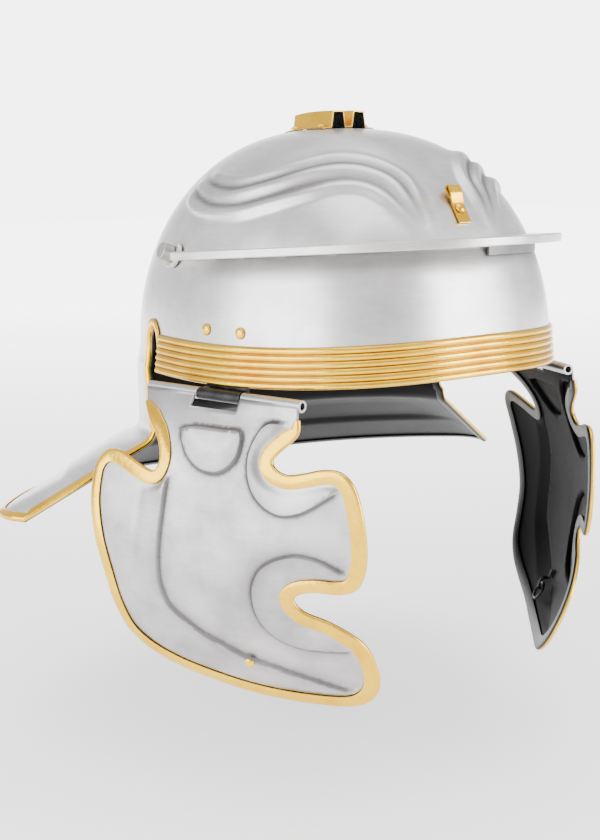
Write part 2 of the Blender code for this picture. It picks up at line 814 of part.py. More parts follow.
def build_rivet(name, seat, normal, radius, material, carrier):
    """Domed rivet head, a gap above what it holds."""
    bm = bmesh.new()
    matrix = frame_matrix(seat + normal * GAP, Vector((0.3, 1, 0.2)), normal)
    rings = []
    for turn in (0, 32, 62):
        wide = radius * math.cos(math.radians(turn))
        up = BRASS_RIVET_RISE * radius / BRASS_RIVET_RADIUS * math.sin(math.radians(turn))
        rings.append([matrix @ Vector((wide * math.cos(math.tau * k / 10),
                                       wide * math.sin(math.tau * k / 10), up))
                      for k in range(10)])
    skin_rings(bm, rings)
    make_object(name, bm, material, carrier)


def build_front_hook(material, carrier):
    """Brass strip riveted to the brow, its upper end lifted and curled back."""
    # Along the strip and away from the bowl, as shares of its length and of its lift
    shape = ((0.00, 0.00), (0.24, 0.00), (0.48, 0.02), (0.64, 0.32), (0.80, 0.80), (0.92, 1.00),
             (1.00, 0.86), (1.00, 0.50), (0.92, 0.25), (0.80, 0.22), (0.70, 0.14))
    line = []
    for point in curve_through([(along, lift, 0) for along, lift in shape], 2):
        line.append((point.x * HOOK_LENGTH, point.y * HOOK_LIFT))
    places = []
    for along, lift in line:
        places.append(hook_place(along, HOOK_CLEARANCE + HOOK_SHEET / 2 + lift))
    rings = []
    for i, place in enumerate(places):
        before = places[max(i - 1, 0)]
        after = places[min(i + 1, len(places) - 1)]
        direction = (after - before).normalized()
        across = Vector((1, 0, 0))
        normal = direction.cross(across).normalized()
        ring = []
        for side, level in ((-1, -1), (1, -1), (1, 1), (-1, 1)):
            ring.append(place + across * side * HOOK_WIDTH / 2 + normal * level * HOOK_SHEET / 2)
        rings.append(ring)
    bm = bmesh.new()
    skin_rings(bm, rings)
    make_object("front_hook", bm, material, carrier)
    seat = hook_place(HOOK_RIVET_AT, HOOK_CLEARANCE + HOOK_SHEET)
    normal = bowl_normal(0.0, seat.z)
    build_rivet("front_hook_rivet", seat, normal, BRASS_RIVET_RADIUS * 0.95, material, carrier)


def hook_place(along, lift):
    """A place on the brow's middle line, at a length above the hook's foot and a lift off it."""
    height = HOOK_LOW
    gone = 0.0
    step = 0.0004
    while gone < along:
        here = bowl_point(0.0, height)
        there = bowl_point(0.0, height + step)
        gone += (there - here).length
        height += step
    place = bowl_point(0.0, height) + bowl_normal(0.0, height) * lift
    place.x = HOOK_SIDE
    return place


def hinge_frame():
    """Middle of the left hinge line, its way forward and its level way outward."""
    turn = math.radians(HINGE_TURN)
    forward = Vector((-math.sin(turn), -math.cos(turn), 0))
    outward = Vector((math.cos(turn), -math.sin(turn), 0))
    front = Vector((HINGE_FRONT_SIDE, HINGE_FRONT_AT, -HINGE_DROP))
    return front - forward * (HINGE_LENGTH / 2), forward, outward


def past_crease(place, line):
    """How far a place lies on the raised side of a crease, less than zero on the other side."""
    best = (1e9, 0.0)
    for start, end in zip(line, line[1:]):
        along = end - start
        share = min(max((place - start).dot(along) / along.length_squared, 0.0), 1.0)
        off = place - start - along * share
        best = min(best, (off.length, along.y * off.x - along.x * off.y))
    return math.copysign(best[0], best[1])


def guard_relief(u, v, lines, hem):
    """How far the guard's plate is raised at a place, none of it at the edging."""
    place = Vector((u, v, 0))
    fade = ease(distance_to_line(place, hem)[0] / 0.0030)
    if not inside_line(place, hem):
        return 0.0
    relief = 0.0
    for line in lines:
        past = past_crease(place, line)
        if 0 < past < RELIEF_REACH:
            top = min(past / RELIEF_STEP, (RELIEF_REACH - past) / (RELIEF_REACH - RELIEF_STEP))
            relief = max(relief, GUARD_RELIEF * top * fade)
    return relief


def guard_lines():
    """The creases of the guard, in metres."""
    lines = []
    for table in (CREASE_HIGH, CREASE_LOW, CREASE_LONG, CREASE_PAD + CREASE_PAD[:1]):
        lines.append([Vector((u * GUARD_WIDTH, v * GUARD_DROP, 0)) for u, v in table])
    return lines


def guard_hem():
    """Inner line of the guard's edging."""
    strip = strip_widths(guard_outline(), GUARD_EDGING_WIDTH + GAP)
    return [here + inward * width for here, inward, width in strip]


def inside_line(point, line):
    """Whether a point lies inside a closed line."""
    inside = False
    for i, end in enumerate(line):
        start = line[i - 1]
        if (start.y > point.y) != (end.y > point.y):
            cross = start.x + (point.y - start.y) * (end.x - start.x) / (end.y - start.y)
            if point.x < cross:
                inside = not inside
    return inside


def guard_triangles(border, hem, lines):
    """Flat triangles of the guard, with edges along its hem and its creases."""
    points = [p.to_2d() for p in border]
    faces = [list(range(len(points)))]
    edges = []

    def add_chain(chain):
        first = len(points)
        points.extend(p.to_2d() for p in chain)
        edges.extend((i, i + 1) for i in range(first, len(points) - 1))
    add_chain(hem)
    for line in lines:
        for offset in (0.0, RELIEF_STEP):
            chain = []
            for i, here in enumerate(line):
                along = line[min(i + 1, len(line) - 1)] - line[max(i - 1, 0)]
                across = Vector((along.y, -along.x, 0)).normalized()
                spot = here + across * offset
                if inside_line(spot, border) and distance_to_line(spot, hem)[0] > 0.0015:
                    chain.append(spot)
            add_chain(chain)
    for row in range(1, int(GUARD_DROP / GUARD_CELL)):
        for column in range(-8, 9):
            spot = Vector(((column + row % 2 / 2) * GUARD_CELL, row * GUARD_CELL, 0))
            clear = min(distance_to_line(spot, line)[0] for line in lines + [border])
            if clear > GUARD_CELL / 2 and inside_line(spot, border):
                points.append(spot.to_2d())
    result = delaunay_2d_cdt(points, edges, faces, 1, 0.0001)
    return result[0], result[2]


def guard_offset(u, v):
    """How far outward of the hinge line the dished plate lies."""
    lean = math.atan(GUARD_LEAN)
    start = (KNUCKLE_RADIUS - 0.00015) / math.cos(lean)
    below = max(v, 0.0)
    turned = 1 - math.exp(-below / GUARD_TURN_DEPTH)
    dish = GUARD_LEAN * v - GUARD_DISH * (below / GUARD_DROP) ** 2
    return start + dish - (GUARD_FLARE * u + GUARD_CURL * (u / GUARD_WIDTH) ** 2) * turned


def guard_point(u, v, out=0.0):
    """Point of the left guard's outer face, u forward of the hinge's middle and v below it."""
    middle, forward, outward = hinge_frame()

    def at(a, b):
        return middle + forward * a + outward * guard_offset(a, b) + Vector((0, 0, -b))
    place = at(u, v)
    if out:
        step = 0.0005
        along = at(u + step, v) - at(u - step, v)
        down = at(u, v + step) - at(u, v - step)
        normal = down.cross(along).normalized()
        if normal.dot(outward) < 0:
            normal = -normal
        place = place + normal * out
    return place


def guard_frame(u, v):
    """Place, forward and outward directions on the left guard's outer face."""
    place = guard_point(u, v)
    normal = (guard_point(u, v, 0.001) - place).normalized()
    along = guard_point(u + 0.001, v) - place
    return place, along.normalized(), normal


def guard_outline():
    """The guard's edge in metres, from the hinge's rear end round to its front end."""
    points = [(u * GUARD_WIDTH, v * GUARD_DROP, 0) for u, v in GUARD_OUTLINE]
    curve = curve_through(points, 3)
    kept = [curve[0]]
    for i in range(1, len(curve) - 1):
        before = (curve[i] - kept[-1]).normalized()
        after = (curve[i + 1] - curve[i]).normalized()
        far = (curve[i] - kept[-1]).length > GUARD_CELL * 1.6
        if before.angle(after) > math.radians(OUTLINE_TURN) or far:
            kept.append(curve[i])
    return kept + [curve[-1]]


def strip_widths(line, width):
    """Place, inward side and width of a flat strip, narrower at its ends and in tight turns."""
    inward = []
    for i, here in enumerate(line):
        before = (here - line[max(i - 1, 0)]).normalized()
        after = (line[min(i + 1, len(line) - 1)] - here).normalized()
        along = (before + after).normalized()
        inward.append(Vector((along.y, -along.x, 0)))
    runs = [0.0]
    for i in range(1, len(line)):
        runs.append(runs[-1] + (line[i] - line[i - 1]).length)
    widths = [width * min(1.0, 0.4 + min(run, runs[-1] - run) / (2.4 * width)) for run in runs]
    for step in range(40):
        for i in range(len(line) - 1):
            start = line[i] + inward[i] * widths[i]
            end = line[i + 1] + inward[i + 1] * widths[i + 1]
            edge = line[i + 1] - line[i]
            if (end - start).dot(edge) < 0.2 * edge.length_squared:
                widths[i] *= 0.95
                widths[i + 1] *= 0.95
    return list(zip(line, inward, widths))


def mirror_x(bm, side):
    """Mirror a left piece to the right."""
    if side < 0:
        bmesh.ops.scale(bm, verts=bm.verts, vec=(-1, 1, 1))
        bmesh.ops.reverse_faces(bm, faces=bm.faces)


def tube(start, end, radius, bore, segments=12):
    """A bmesh of a straight tube, or of a rod if it has no bore."""
    bm = bmesh.new()
    axis = (end - start).normalized()
    matrix = frame_matrix(start, Vector((0, 0, 1)), axis)
    length = (end - start).length

    def circle(r, z):
        return [matrix @ Vector((r * math.cos(math.tau * k / segments),
                                 r * math.sin(math.tau * k / segments), z))
                for k in range(segments)]
    if bore:
        skin_rings(bm, [circle(radius, 0), circle(radius, length), circle(bore, length),
                        circle(bore, 0)], closed=True)
    else:
        skin_rings(bm, [circle(radius, 0), circle(radius, length)])
    return bm


def build_guard(side, word, steel, brass, carrier):
    """Dished steel plate with rolled knuckles and raised lines, and its brass edging."""
    middle, forward, outward = hinge_frame()
    half = HINGE_LENGTH / 2
    outline = guard_outline()
    top = -0.0010
    lines = guard_lines()
    hem = guard_hem()
    end = half - GAP
    gap_from = MIDDLE_FROM - 2 * GAP
    gap_to = MIDDLE_TO + 2 * GAP
    corners = ((end, top), (gap_to, top), (gap_to, WINDOW_DROP), (gap_from, WINDOW_DROP),
               (gap_from, top), (-end, top))
    border = outline + [Vector((u, v, 0)) for u, v in corners]
    places, triangles = guard_triangles(border, hem, lines)
    bm = bmesh.new()
    verts = []
    for u, v in places:
        verts.append(bm.verts.new(guard_point(u, v, guard_relief(u, v, lines, hem) + 0.0000001)))
    for face in triangles:
        bm.faces.new([verts[i] for i in face])
    bm.normal_update()
    if sum((f.normal.dot(outward) * f.calc_area() for f in bm.faces)) < 0:
        bmesh.ops.reverse_faces(bm, faces=bm.faces)
    mirror_x(bm, side)
    plate = make_object("cheek_guard_" + word, bm, steel, carrier, GUARD_SHEET)
    for name, start, end in (("rear", -half, MIDDLE_FROM - GAP), ("front", MIDDLE_TO + GAP, half)):
        knuckle = tube(middle + forward * start, middle + forward * end,
                       KNUCKLE_RADIUS, KNUCKLE_BORE)
        mirror_x(knuckle, side)
        join_shape(plate, add_cutter("knuckle_%s_%s" % (name, word), knuckle, carrier))

    inner = GUARD_SHEET / 2 + EDGING_GAP
    outer = inner + EDGING_WALL
    rings = []
    for here, inward, width in strip_widths(outline, GUARD_EDGING_WIDTH):
        ring = []
        for b, n in ((width, outer), (-GAP - EDGING_WALL, outer), (-GAP - EDGING_WALL, -outer),
                     (width, -outer), (width, -inner), (-GAP, -inner), (-GAP, inner),
                     (width, inner)):
            spot = here + inward * b
            ring.append(guard_point(spot.x, spot.y, n - GUARD_SHEET / 2))
        rings.append(ring)
    bm = bmesh.new()
    skin_rings(bm, rings)
    mirror_x(bm, side)
    make_object("cheek_edging_" + word, bm, brass, carrier)


def build_chin_tie(side, word, dark, brass, carrier):
    """Brass rivet outside the chin, and inside it a small brass strap that holds a ring."""
    u, v = TIE_ALONG * GUARD_WIDTH, TIE_DOWN * GUARD_DROP
    place, along, normal = guard_frame(u, v)
    relief = guard_relief(u, v, guard_lines(), guard_hem())
    inside = place - normal * GUARD_SHEET
    flip = Matrix.Scale(-1, 4, (1, 0, 0)) if side < 0 else Matrix.Identity(4)
    seat = flip @ (place + normal * relief)
    build_rivet("tie_rivet_" + word, seat, (flip.to_3x3() @ normal).normalized(),
                BRASS_RIVET_RADIUS * 0.9, brass, carrier)
    down = normal.cross(along).normalized()
    if down.z > 0:
        down = -down
    half = TIE_STRAP_SPAN / 2
    path = ((-half, 0.0), (-half * 0.1, 0.0), (half * 0.25, TIE_STRAP_RISE),
            (half, TIE_STRAP_RISE), (half + 0.0006, TIE_STRAP_RISE - 0.0012),
            (half + 0.0006, 0.0))
    rings = []
    for i, (x, z) in enumerate(path):
        before = Vector(path[max(i - 1, 0)])
        after = Vector(path[min(i + 1, len(path) - 1)])
        way = (after - before).normalized()
        ring = []
        for w, level in ((-1, 0), (1, 0), (1, 1), (-1, 1)):
            step = x - way.y * level * TIE_STRAP_SHEET
            lift = TIE_STAND_OFF + z + way.x * level * TIE_STRAP_SHEET
            ring.append(inside + down * step + along * w * TIE_STRAP_WIDTH / 2 - normal * lift)
        rings.append(ring)
    bm = bmesh.new()
    skin_rings(bm, rings)
    mirror_x(bm, side)
    make_object("tie_strap_" + word, bm, brass, carrier)
    tilt = math.sin(math.radians(TIE_RING_TILT))
    rings = []
    for k in range(12):
        turn = math.tau * k / 12
        slope = (down - normal * tilt).normalized()
        radial = along * math.sin(turn) - slope * math.cos(turn)
        top = inside + down * (half * 0.62) - normal * (TIE_STAND_OFF + TIE_STRAP_RISE * 0.5)
        middle = top + slope * TIE_RING_RADIUS + radial * TIE_RING_RADIUS
        face = along.cross(slope).normalized()
        ring = []
        for j in range(6):
            lean = math.tau * j / 6
            ring.append(middle + radial * TIE_RING_WIRE * math.cos(lean)
                        + face * TIE_RING_WIRE * math.sin(lean))
        rings.append(ring)
    bm = bmesh.new()
    skin_rings(bm, rings, closed=True)
    mirror_x(bm, side)
    make_object("tie_ring_" + word, bm, dark, carrier)


def roll_point(axis, outward, turn, radius):
    """Point of a rolled knuckle at an angle about the hinge line."""
    a = math.radians(turn)
    return axis + outward * radius * math.cos(a) + Vector((0, 0, radius * math.sin(a)))


def build_hinge_fixed(side, word, dark, brass, carrier):
    """Leaf inside the bowl with the middle knuckle, the hinge pin and the leaf's two rivets."""
    middle, forward, outward = hinge_frame()
    half = HINGE_LENGTH / 2

    def wall_place(u, height, depth):
        """Place under the bowl's wall, square to the hinge line at u."""
        on_line = middle + forward * u
        low, high = 30.0, 110.0
        for step in range(34):
            angle = (low + high) / 2
            place = bowl_point(angle, height) - bowl_normal(angle, height) * depth
            if (place - on_line).dot(forward) > 0:
                low = angle
            else:
                high = angle
        return place
    rings = []
    stations = 3
    near = SHEET + LEAF_CLEARANCE
    for i in range(stations + 1):
        u = blend(MIDDLE_FROM + GAP, MIDDLE_TO - GAP, i / stations)
        wide = blend(LEAF_TOP_FROM, LEAF_TOP_TO, i / stations)
        axis = middle + forward * u
        outer, inner = [], []
        for share in (1.0, 0.68, 0.35, 0.015):
            along, height = blend(u, wide, share), LEAF_HEIGHT * share
            outer.append(wall_place(along, height, near))
            inner.append(wall_place(along, height, near + LEAF_SHEET))
        turned = outer[-1].copy()
        turned.z = axis.z + KNUCKLE_RADIUS
        under = inner[-1].copy()
        under.z = axis.z + KNUCKLE_RADIUS - LEAF_SHEET
        throat = axis - outward * KNUCKLE_BORE * 0.8
        throat.z = under.z
        curl = [90 - 30 * k for k in range(11)]
        roll = [roll_point(axis, outward, turn, KNUCKLE_RADIUS) for turn in curl]
        bore = [roll_point(axis, outward, turn, KNUCKLE_BORE) for turn in curl[::2]]
        rings.append(outer + [turned] + roll + bore[::-1] + [throat, under] + inner[::-1])
    bm = bmesh.new()
    skin_rings(bm, rings)
    mirror_x(bm, side)
    make_object("hinge_leaf_" + word, bm, dark, carrier)

    pin = tube(middle - forward * (half - PIN_INSET), middle + forward * (half - PIN_INSET),
               PIN_RADIUS, 0.0)
    mirror_x(pin, side)
    make_object("hinge_pin_" + word, pin, dark, carrier)

    leaf_middle = (LEAF_TOP_FROM + LEAF_TOP_TO) / 2
    for number, way in ((1, 1), (2, -1)):
        u = leaf_middle + way * LEAF_RIVET_SPACING / 2
        seat = wall_place(u, LEAF_RIVET_HEIGHT, 0.0)
        angle = bowl_angle_at(seat.y, LEAF_RIVET_HEIGHT)
        normal = bowl_normal(angle, LEAF_RIVET_HEIGHT)
        seat = Vector((seat.x * side, seat.y, seat.z))
        normal = Vector((normal.x * side, normal.y, normal.z))
        build_rivet("leaf_rivet_%s_%d" % (word, number), seat, normal,
                    BRASS_RIVET_RADIUS, brass, carrier)


clear_scene()
steel = make_material("satin_steel", (0.63, 0.63, 0.64), 0.32)
bright = make_material("ground_steel", (0.78, 0.78, 0.77), 0.38)
dark = make_material("dark_steel", (0.09, 0.09, 0.095), 0.45)
brass = make_material("brass", (0.72, 0.51, 0.20), 0.28)
rim = make_empty("rim_plane", (0, CROWN_LEAN, SHEET - BOWL_HEIGHT))
sheet_edge, sheet_tree = build_bowl(steel, rim)
build_bowl_edging(sheet_edge, sheet_tree, brass, rim)
build_brow_band(brass, rim)
build_peak(bright, rim)
build_peak_tab(steel, rim)
build_crest_holder(brass, rim)
build_front_hook(brass, rim)
hinge_middle = hinge_frame()[0]
for hand, word in ((-1, "right"), (1, "left")):
    place = Vector((hinge_middle.x * hand, hinge_middle.y, hinge_middle.z))
    hinge = make_empty("cheek_hinge_" + word, place, rim)
    build_hinge_fixed(hand, word, dark, brass, rim)
    build_guard(hand, word, steel, brass, hinge)
    build_chin_tie(hand, word, dark, brass, hinge)
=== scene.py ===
import math

import bmesh
import bpy
from mathutils import Matrix, Vector
from mathutils.geometry import delaunay_2d_cdt
from mathutils.kdtree import KDTree


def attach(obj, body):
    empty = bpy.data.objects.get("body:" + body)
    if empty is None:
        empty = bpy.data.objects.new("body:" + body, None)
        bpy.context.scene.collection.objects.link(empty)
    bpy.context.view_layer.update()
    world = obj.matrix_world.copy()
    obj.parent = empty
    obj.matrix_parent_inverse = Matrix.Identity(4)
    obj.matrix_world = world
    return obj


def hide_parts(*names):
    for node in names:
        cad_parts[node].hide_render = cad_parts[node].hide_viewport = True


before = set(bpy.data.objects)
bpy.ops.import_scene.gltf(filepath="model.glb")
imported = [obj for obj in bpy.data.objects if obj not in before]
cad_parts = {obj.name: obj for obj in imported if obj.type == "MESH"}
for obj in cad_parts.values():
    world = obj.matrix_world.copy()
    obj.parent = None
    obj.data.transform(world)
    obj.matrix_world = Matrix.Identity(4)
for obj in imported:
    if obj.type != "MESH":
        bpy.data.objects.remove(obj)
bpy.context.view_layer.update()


# The bowl is one sheet of beaten steel. The brow carries raised eyebrows, and the back runs
# down into a sloping neck guard. It is ground and satin polished outside and painted black inside.
RIM = Vector((0, 0.004, -0.1239))
SHEET = 0.0016
HALF_WIDTH, FRONT, REAR, HEIGHT = 0.104, 0.1212, 0.116, 0.1255
DOME_START, WAIST, CROWN_LEAN, SHAPED = 0.014, 0.98, 0.004, 0.045
EAR_FRONT, EAR_WIDTH, EAR_HEIGHT = 0.0188, 0.0166, 0.0243
PEAK_THICK, PEAK_Z, PEAK_SLOPE = 0.0042, 0.0618, 0.0699
PLAN_FRONT, PLAN_REAR, PROFILE_UP, PROFILE_OUT, RIM_RISE = 2.43, 2.17, 1.92, 2.46, 0.0053
BROW_LOW, BROW_WIDTH, BROW_RISE, CREASE_WIDTH, CREASE_SPREAD = 0.060, 0.0056, 0.0027, 0.0017, 0.006
SHADE_DEPTH, SHADE_FADE, SHADE_SIDE, SHADE_DARK = 0.014, 0.009, 0.03, 0.6
BEND_SIDE, BEND_REAR, BEND_SOFT, NECK_DROP_SIDE, NECK_DROP_REAR = 0.036, 0.043, 0.006, 0.040, 0.046
NECK_FROM, NECK_RADIUS, CORNER_REACH, CORNER_CUT, CORNER_SPAN = 107.5, 0.178, 0.014, 0.017, 10
RIDGE_RADIUS, RIDGE_WIDTH, RIDGE_RISE = 0.151, 0.005, 0.0022
FRONT_PART, EAR_PART, REAR_PART, DOME_PART = 0.56, 0.20, 0.24, 0.8
WALL_PART, BEND_FROM, BEND_TO = 0.3, 0.252, 0.36
DOME_EAR_FRONT, DOME_EAR_REAR, DOME_LOW = 87, 118.5, 17.0
CLOUD_MM, STREAK_MM, GRAIN_MM, DENT_MM, PATCH_MM, PEEL_MM, SATIN = 42, 1.2, 0.5, 34, 30, 0.9, 0.34
# The third colour is painted shade, for the eyebrows' creases and the bowl under the peak.
STEEL_LIGHT, STEEL_SHADE, PAINTED_SHADE = "#e6e3e3", "#c6c2c3", "#2c2a2a"
PAINT_BLACK, PAINT_GREY = "#060606", "#0d0d0e"
# Each ridge runs from the ear side to the middle, as plan angles and shares of the bowl's height.
EYEBROWS = (
    ((107, 0.820), (92, 0.790), (77, 0.793), (62, 0.832), (50, 0.865), (42, 0.876),
     (32, 0.870), (22, 0.842), (15, 0.790), (13.5, 0.715), (13.5, 0.650), (14.5, 0.590)),
    ((113, 0.785), (99, 0.748), (87, 0.726), (77, 0.733), (64, 0.770), (52, 0.813), (41, 0.831),
     (31, 0.822), (22.5, 0.784), (18.5, 0.722), (16, 0.655), (14.8, 0.590)),
    ((112, 0.740), (100, 0.685), (88, 0.660), (74, 0.665), (64, 0.695), (53, 0.733), (43, 0.764),
     (36, 0.768), (30, 0.752), (24.5, 0.711), (20, 0.655), (16, 0.600)),
)
# The arch has shares of the ear's width and height, and the edge below it has shares of the
# wall's depth and the ear's width.
EAR_ARCH = ((0.000, 0.000), (0.030, 0.480), (0.150, 0.820), (0.430, 1.000),
            (0.760, 0.930), (0.965, 0.680), (1.000, 0.340), (0.920, 0.000))
EAR_REAR_EDGE = ((0.00, 0.920), (0.25, 0.770), (0.50, 0.640), (0.75, 0.520), (1.00, 0.350))


def linear(code):
    """A hex sRGB colour as the linear RGBA that shaders take."""
    parts = [int(code[i:i + 2], 16) / 255 for i in (1, 3, 5)]
    return tuple(c / 12.92 if c <= 0.04045 else ((c + 0.055) / 1.055) ** 2.4 for c in parts) + (1.0,)


def add(tree, kind, links=None, stops=(), **settings):
    """Adds one shader node: sockets take values or outputs, and settings are its properties.

    A colour ramp also takes two stops, each a position with a hex colour or a grey level.
    """
    item = tree.nodes.new(kind)
    for key, value in settings.items():
        setattr(item, key, value)
    for key, value in (links or {}).items():
        if isinstance(value, bpy.types.NodeSocket):
            tree.links.new(value, item.inputs[key])
        else:
            item.inputs[key].default_value = value
    for number, (position, colour) in enumerate(stops):
        bar = item.color_ramp.elements[number]
        bar.position = position
        bar.color = linear(colour) if isinstance(colour, str) else (colour, colour, colour, 1)
    return item


def new_material(name, **constants):
    """A material with its Principled shader and its object coordinates."""
    material = bpy.data.materials.new(name)
    material.use_nodes = True
    tree = material.node_tree
    shader = tree.nodes["Principled BSDF"]
    for key, value in constants.items():
        shader.inputs[key.replace("_", " ")].default_value = value
    place = tree.nodes.new("ShaderNodeTexCoord").outputs["Object"]
    return material, tree, shader, place


def satin_steel(name, light, shade, roughness):
    """Gives the soft grey sheen of hand-polished sheet, duller down in the grooves, with painted
    shade darkening its creases and the bowl under the peak.
    """
    material, tree, shader, place = new_material(name, Metallic=1.0)
    drawn = add(tree, "ShaderNodeMapping", {"Vector": place, "Scale": (0.08, 0.08, 1.0)}).outputs[0]
    cloud, streak, grain, dents = [
        add(tree, "ShaderNodeTexNoise", {"Vector": where, "Scale": 1000 / wide, "Detail": detail,
            "Roughness": coarse}).outputs["Fac"]
        for where, wide, detail, coarse in ((place, CLOUD_MM, 4, 0.6), (drawn, STREAK_MM, 3, 0.6),
                                            (place, GRAIN_MM, 2, 0.6), (place, DENT_MM, 2, 0.5))]
    shade_and_tarnish = add(tree, "ShaderNodeAttribute", attribute_name="shade_and_tarnish").outputs["Fac"]
    tone = add(tree, "ShaderNodeValToRGB", {"Fac": cloud}, ((0.3, shade), (0.62, light)))
    fine = add(tree, "ShaderNodeValToRGB", {"Fac": streak}, ((0.35, 0.93), (0.65, 1.0)))
    worn = add(tree, "ShaderNodeMix", {"Factor": 1.0, 6: tone.outputs["Color"],
               7: fine.outputs["Color"]}, data_type="RGBA", blend_type="MULTIPLY").outputs[2]
    # Painted shade: where the layer is set, the colour is mixed toward a dark grey.
    shade_and_stain = add(tree, "ShaderNodeMath", {0: shade_and_tarnish, 1: 1.0}, operation="MINIMUM").outputs[0]
    colour = add(tree, "ShaderNodeMix", {"Factor": shade_and_stain, 6: worn, 7: linear(PAINTED_SHADE)},
                 data_type="RGBA").outputs[2]
    rough = add(tree, "ShaderNodeMath", {0: shade_and_tarnish, 1: 0.25, 2: roughness},
                operation="MULTIPLY_ADD").outputs[0]
    bump = None
    for height, strength, distance in ((streak, 0.06, 0.0003), (grain, 0.08, 0.0002),
                                       (dents, 0.15, 0.0012)):
        below = {"Normal": bump.outputs["Normal"]} if bump else {}
        bump = add(tree, "ShaderNodeBump", {"Height": height, "Strength": strength,
                   "Distance": distance, **below})
    tree.links.new(colour, shader.inputs["Base Color"])
    tree.links.new(rough, shader.inputs["Roughness"])
    tree.links.new(bump.outputs["Normal"], shader.inputs["Normal"])
    return material


def black_paint(name, index):
    """Gives the inside its thin semi-gloss black coat, a little grey where it is rubbed."""
    material, tree, shader, place = new_material(name, Metallic=0.0, IOR=index)
    cloud, peel = [
        add(tree, "ShaderNodeTexNoise", {"Vector": place, "Scale": 1000 / wide, "Detail": detail,
            "Roughness": coarse}).outputs["Fac"]
        for wide, detail, coarse in ((PATCH_MM, 4, 0.6), (PEEL_MM, 2, 0.5))]
    tone = add(tree, "ShaderNodeValToRGB", {"Fac": cloud}, ((0.35, PAINT_BLACK), (0.7, PAINT_GREY)))
    tree.links.new(tone.outputs["Color"], shader.inputs["Base Color"])
    rough = add(tree, "ShaderNodeMapRange", {"Value": cloud, "To Min": 0.30, "To Max": 0.48})
    tree.links.new(rough.outputs["Result"], shader.inputs["Roughness"])
    bump = add(tree, "ShaderNodeBump", {"Height": peel, "Strength": 0.12, "Distance": 0.0003})
    tree.links.new(bump.outputs["Normal"], shader.inputs["Normal"])
    return material


def blend(low, high, share):
    return low + (high - low) * share


def ease(share):
    share = min(max(share, 0.0), 1.0)
    return share * share * (3 - 2 * share)


def curve_through(points, steps):
    """Points on a smooth curve through the given ones, the same number in each stretch."""
    points = [Vector(p) for p in points]
    padded = [points[0] * 2 - points[1]] + points + [points[-1] * 2 - points[-2]]
    curve = []
    for i in range(len(points) - 1):
        a, b, c, d = padded[i:i + 4]
        for k in range(steps):
            t = k / steps
            curve.append(0.5 * (2 * b + (c - a) * t + (2 * a - 5 * b + 4 * c - d) * t * t
                                + (3 * b - a - 3 * c + d) * t ** 3))
    return curve + [points[-1]]


def distance_to_line(point, line):
    """Distance from a point to a chain of points, and how far along the chain it is."""
    best = (1e9, 0.0)
    for i in range(len(line) - 1):
        start, along = line[i], line[i + 1] - line[i]
        share = min(max((point - start).dot(along) / along.length_squared, 0.0), 1.0)
        gap = (point - start - along * share).length
        if gap < best[0]:
            best = (gap, (i + share) / (len(line) - 1))
    return best


def plan_point(angle):
    """Point of the bowl's outline at the rim, at an angle from the front."""
    s, c = math.sin(math.radians(angle)), math.cos(math.radians(angle))
    power, length = (PLAN_FRONT, FRONT) if c >= 0 else (PLAN_REAR, REAR)
    k = (abs(s) ** power + abs(c) ** power) ** (-1 / power)
    return Vector((HALF_WIDTH * s * k, -length * c * k, 0))


def plan_side(angle):
    """Outward direction of the outline."""
    along = plan_point(angle + 0.1) - plan_point(angle - 0.1)
    return Vector((along.y, -along.x, 0)).normalized()


def share_at(height):
    """The bowl's plan at a height, as a share of the plan at the rim."""
    if height < DOME_START:
        rest = 1 - max(height, 0.0) / DOME_START
        return WAIST * (1 + (1 / WAIST - 1) * rest * rest)
    t = min((height - DOME_START) / (HEIGHT - DOME_START), 1.0)
    return WAIST * (1 - t ** PROFILE_UP) ** (1 / PROFILE_OUT)


def bowl_point(angle, height):
    """Point on the bowl's outer face, in rim space."""
    place = plan_point(angle) * share_at(height)
    place.y -= CROWN_LEAN * (max(height, 0.0) / HEIGHT) ** 2
    place.z = height
    return place


def bowl_normal(angle, height):
    """Outward direction of the bowl's face."""
    top = min(height + 0.0002, HEIGHT - 0.00001)
    up = bowl_point(angle, top) - bowl_point(angle, top - 0.0004)
    side = bowl_point(angle + 0.2, height) - bowl_point(angle - 0.2, height)
    return side.cross(up).normalized()


def rim_height(angle):
    """How far the rim rises toward the front."""
    c = math.cos(math.radians(angle))
    return RIM_RISE * c * c if c > 0 else 0.0


def flatten(angle, height):
    """A place of the brow laid out flat, with its lengths about true."""
    return Vector((math.radians(angle) * HALF_WIDTH * 0.74, height * 1.33, 0))


def eyebrow(angle, height, lines):
    """How far the brow is raised at a place, and how much painted shade darkens the crease there."""
    place = flatten(angle, height)
    relief, shade_and_tarnish = 0.0, 0.0
    for line, below in zip(lines, lines[1:] + [None]):
        gap, along = distance_to_line(place, line)
        taper = ease(min((along + 0.02) / 0.10, (1.04 - along) / 0.30))
        if gap < BROW_WIDTH:
            swell = 0.5 + 0.5 * math.cos(math.pi * gap / BROW_WIDTH)
            relief = max(relief, BROW_RISE * swell * taper)
        if below:
            crease = [(a + b) / 2 for a, b in zip(line, below)]
            gap = distance_to_line(place, crease)[0]
            # Painted shade along the crease between two ridges, narrow and dark with a wide soft
            # halo.
            dark = 0.52 * math.exp(-(gap / CREASE_WIDTH) ** 2)
            dark += 0.25 * math.exp(-(gap / CREASE_SPREAD) ** 2)
            shade_and_tarnish = max(shade_and_tarnish, dark * taper)
    return relief, shade_and_tarnish


def ear_point(across, up):
    """Plan angle and height of a place of the ear opening."""
    back, share = EAR_FRONT + EAR_WIDTH * across, share_at(EAR_HEIGHT * up)
    low, high = 90.0, 130.0
    for step in range(26):
        middle = (low + high) / 2
        if plan_point(middle).y * share < back:
            low = middle
        else:
            high = middle
    return low, EAR_HEIGHT * up


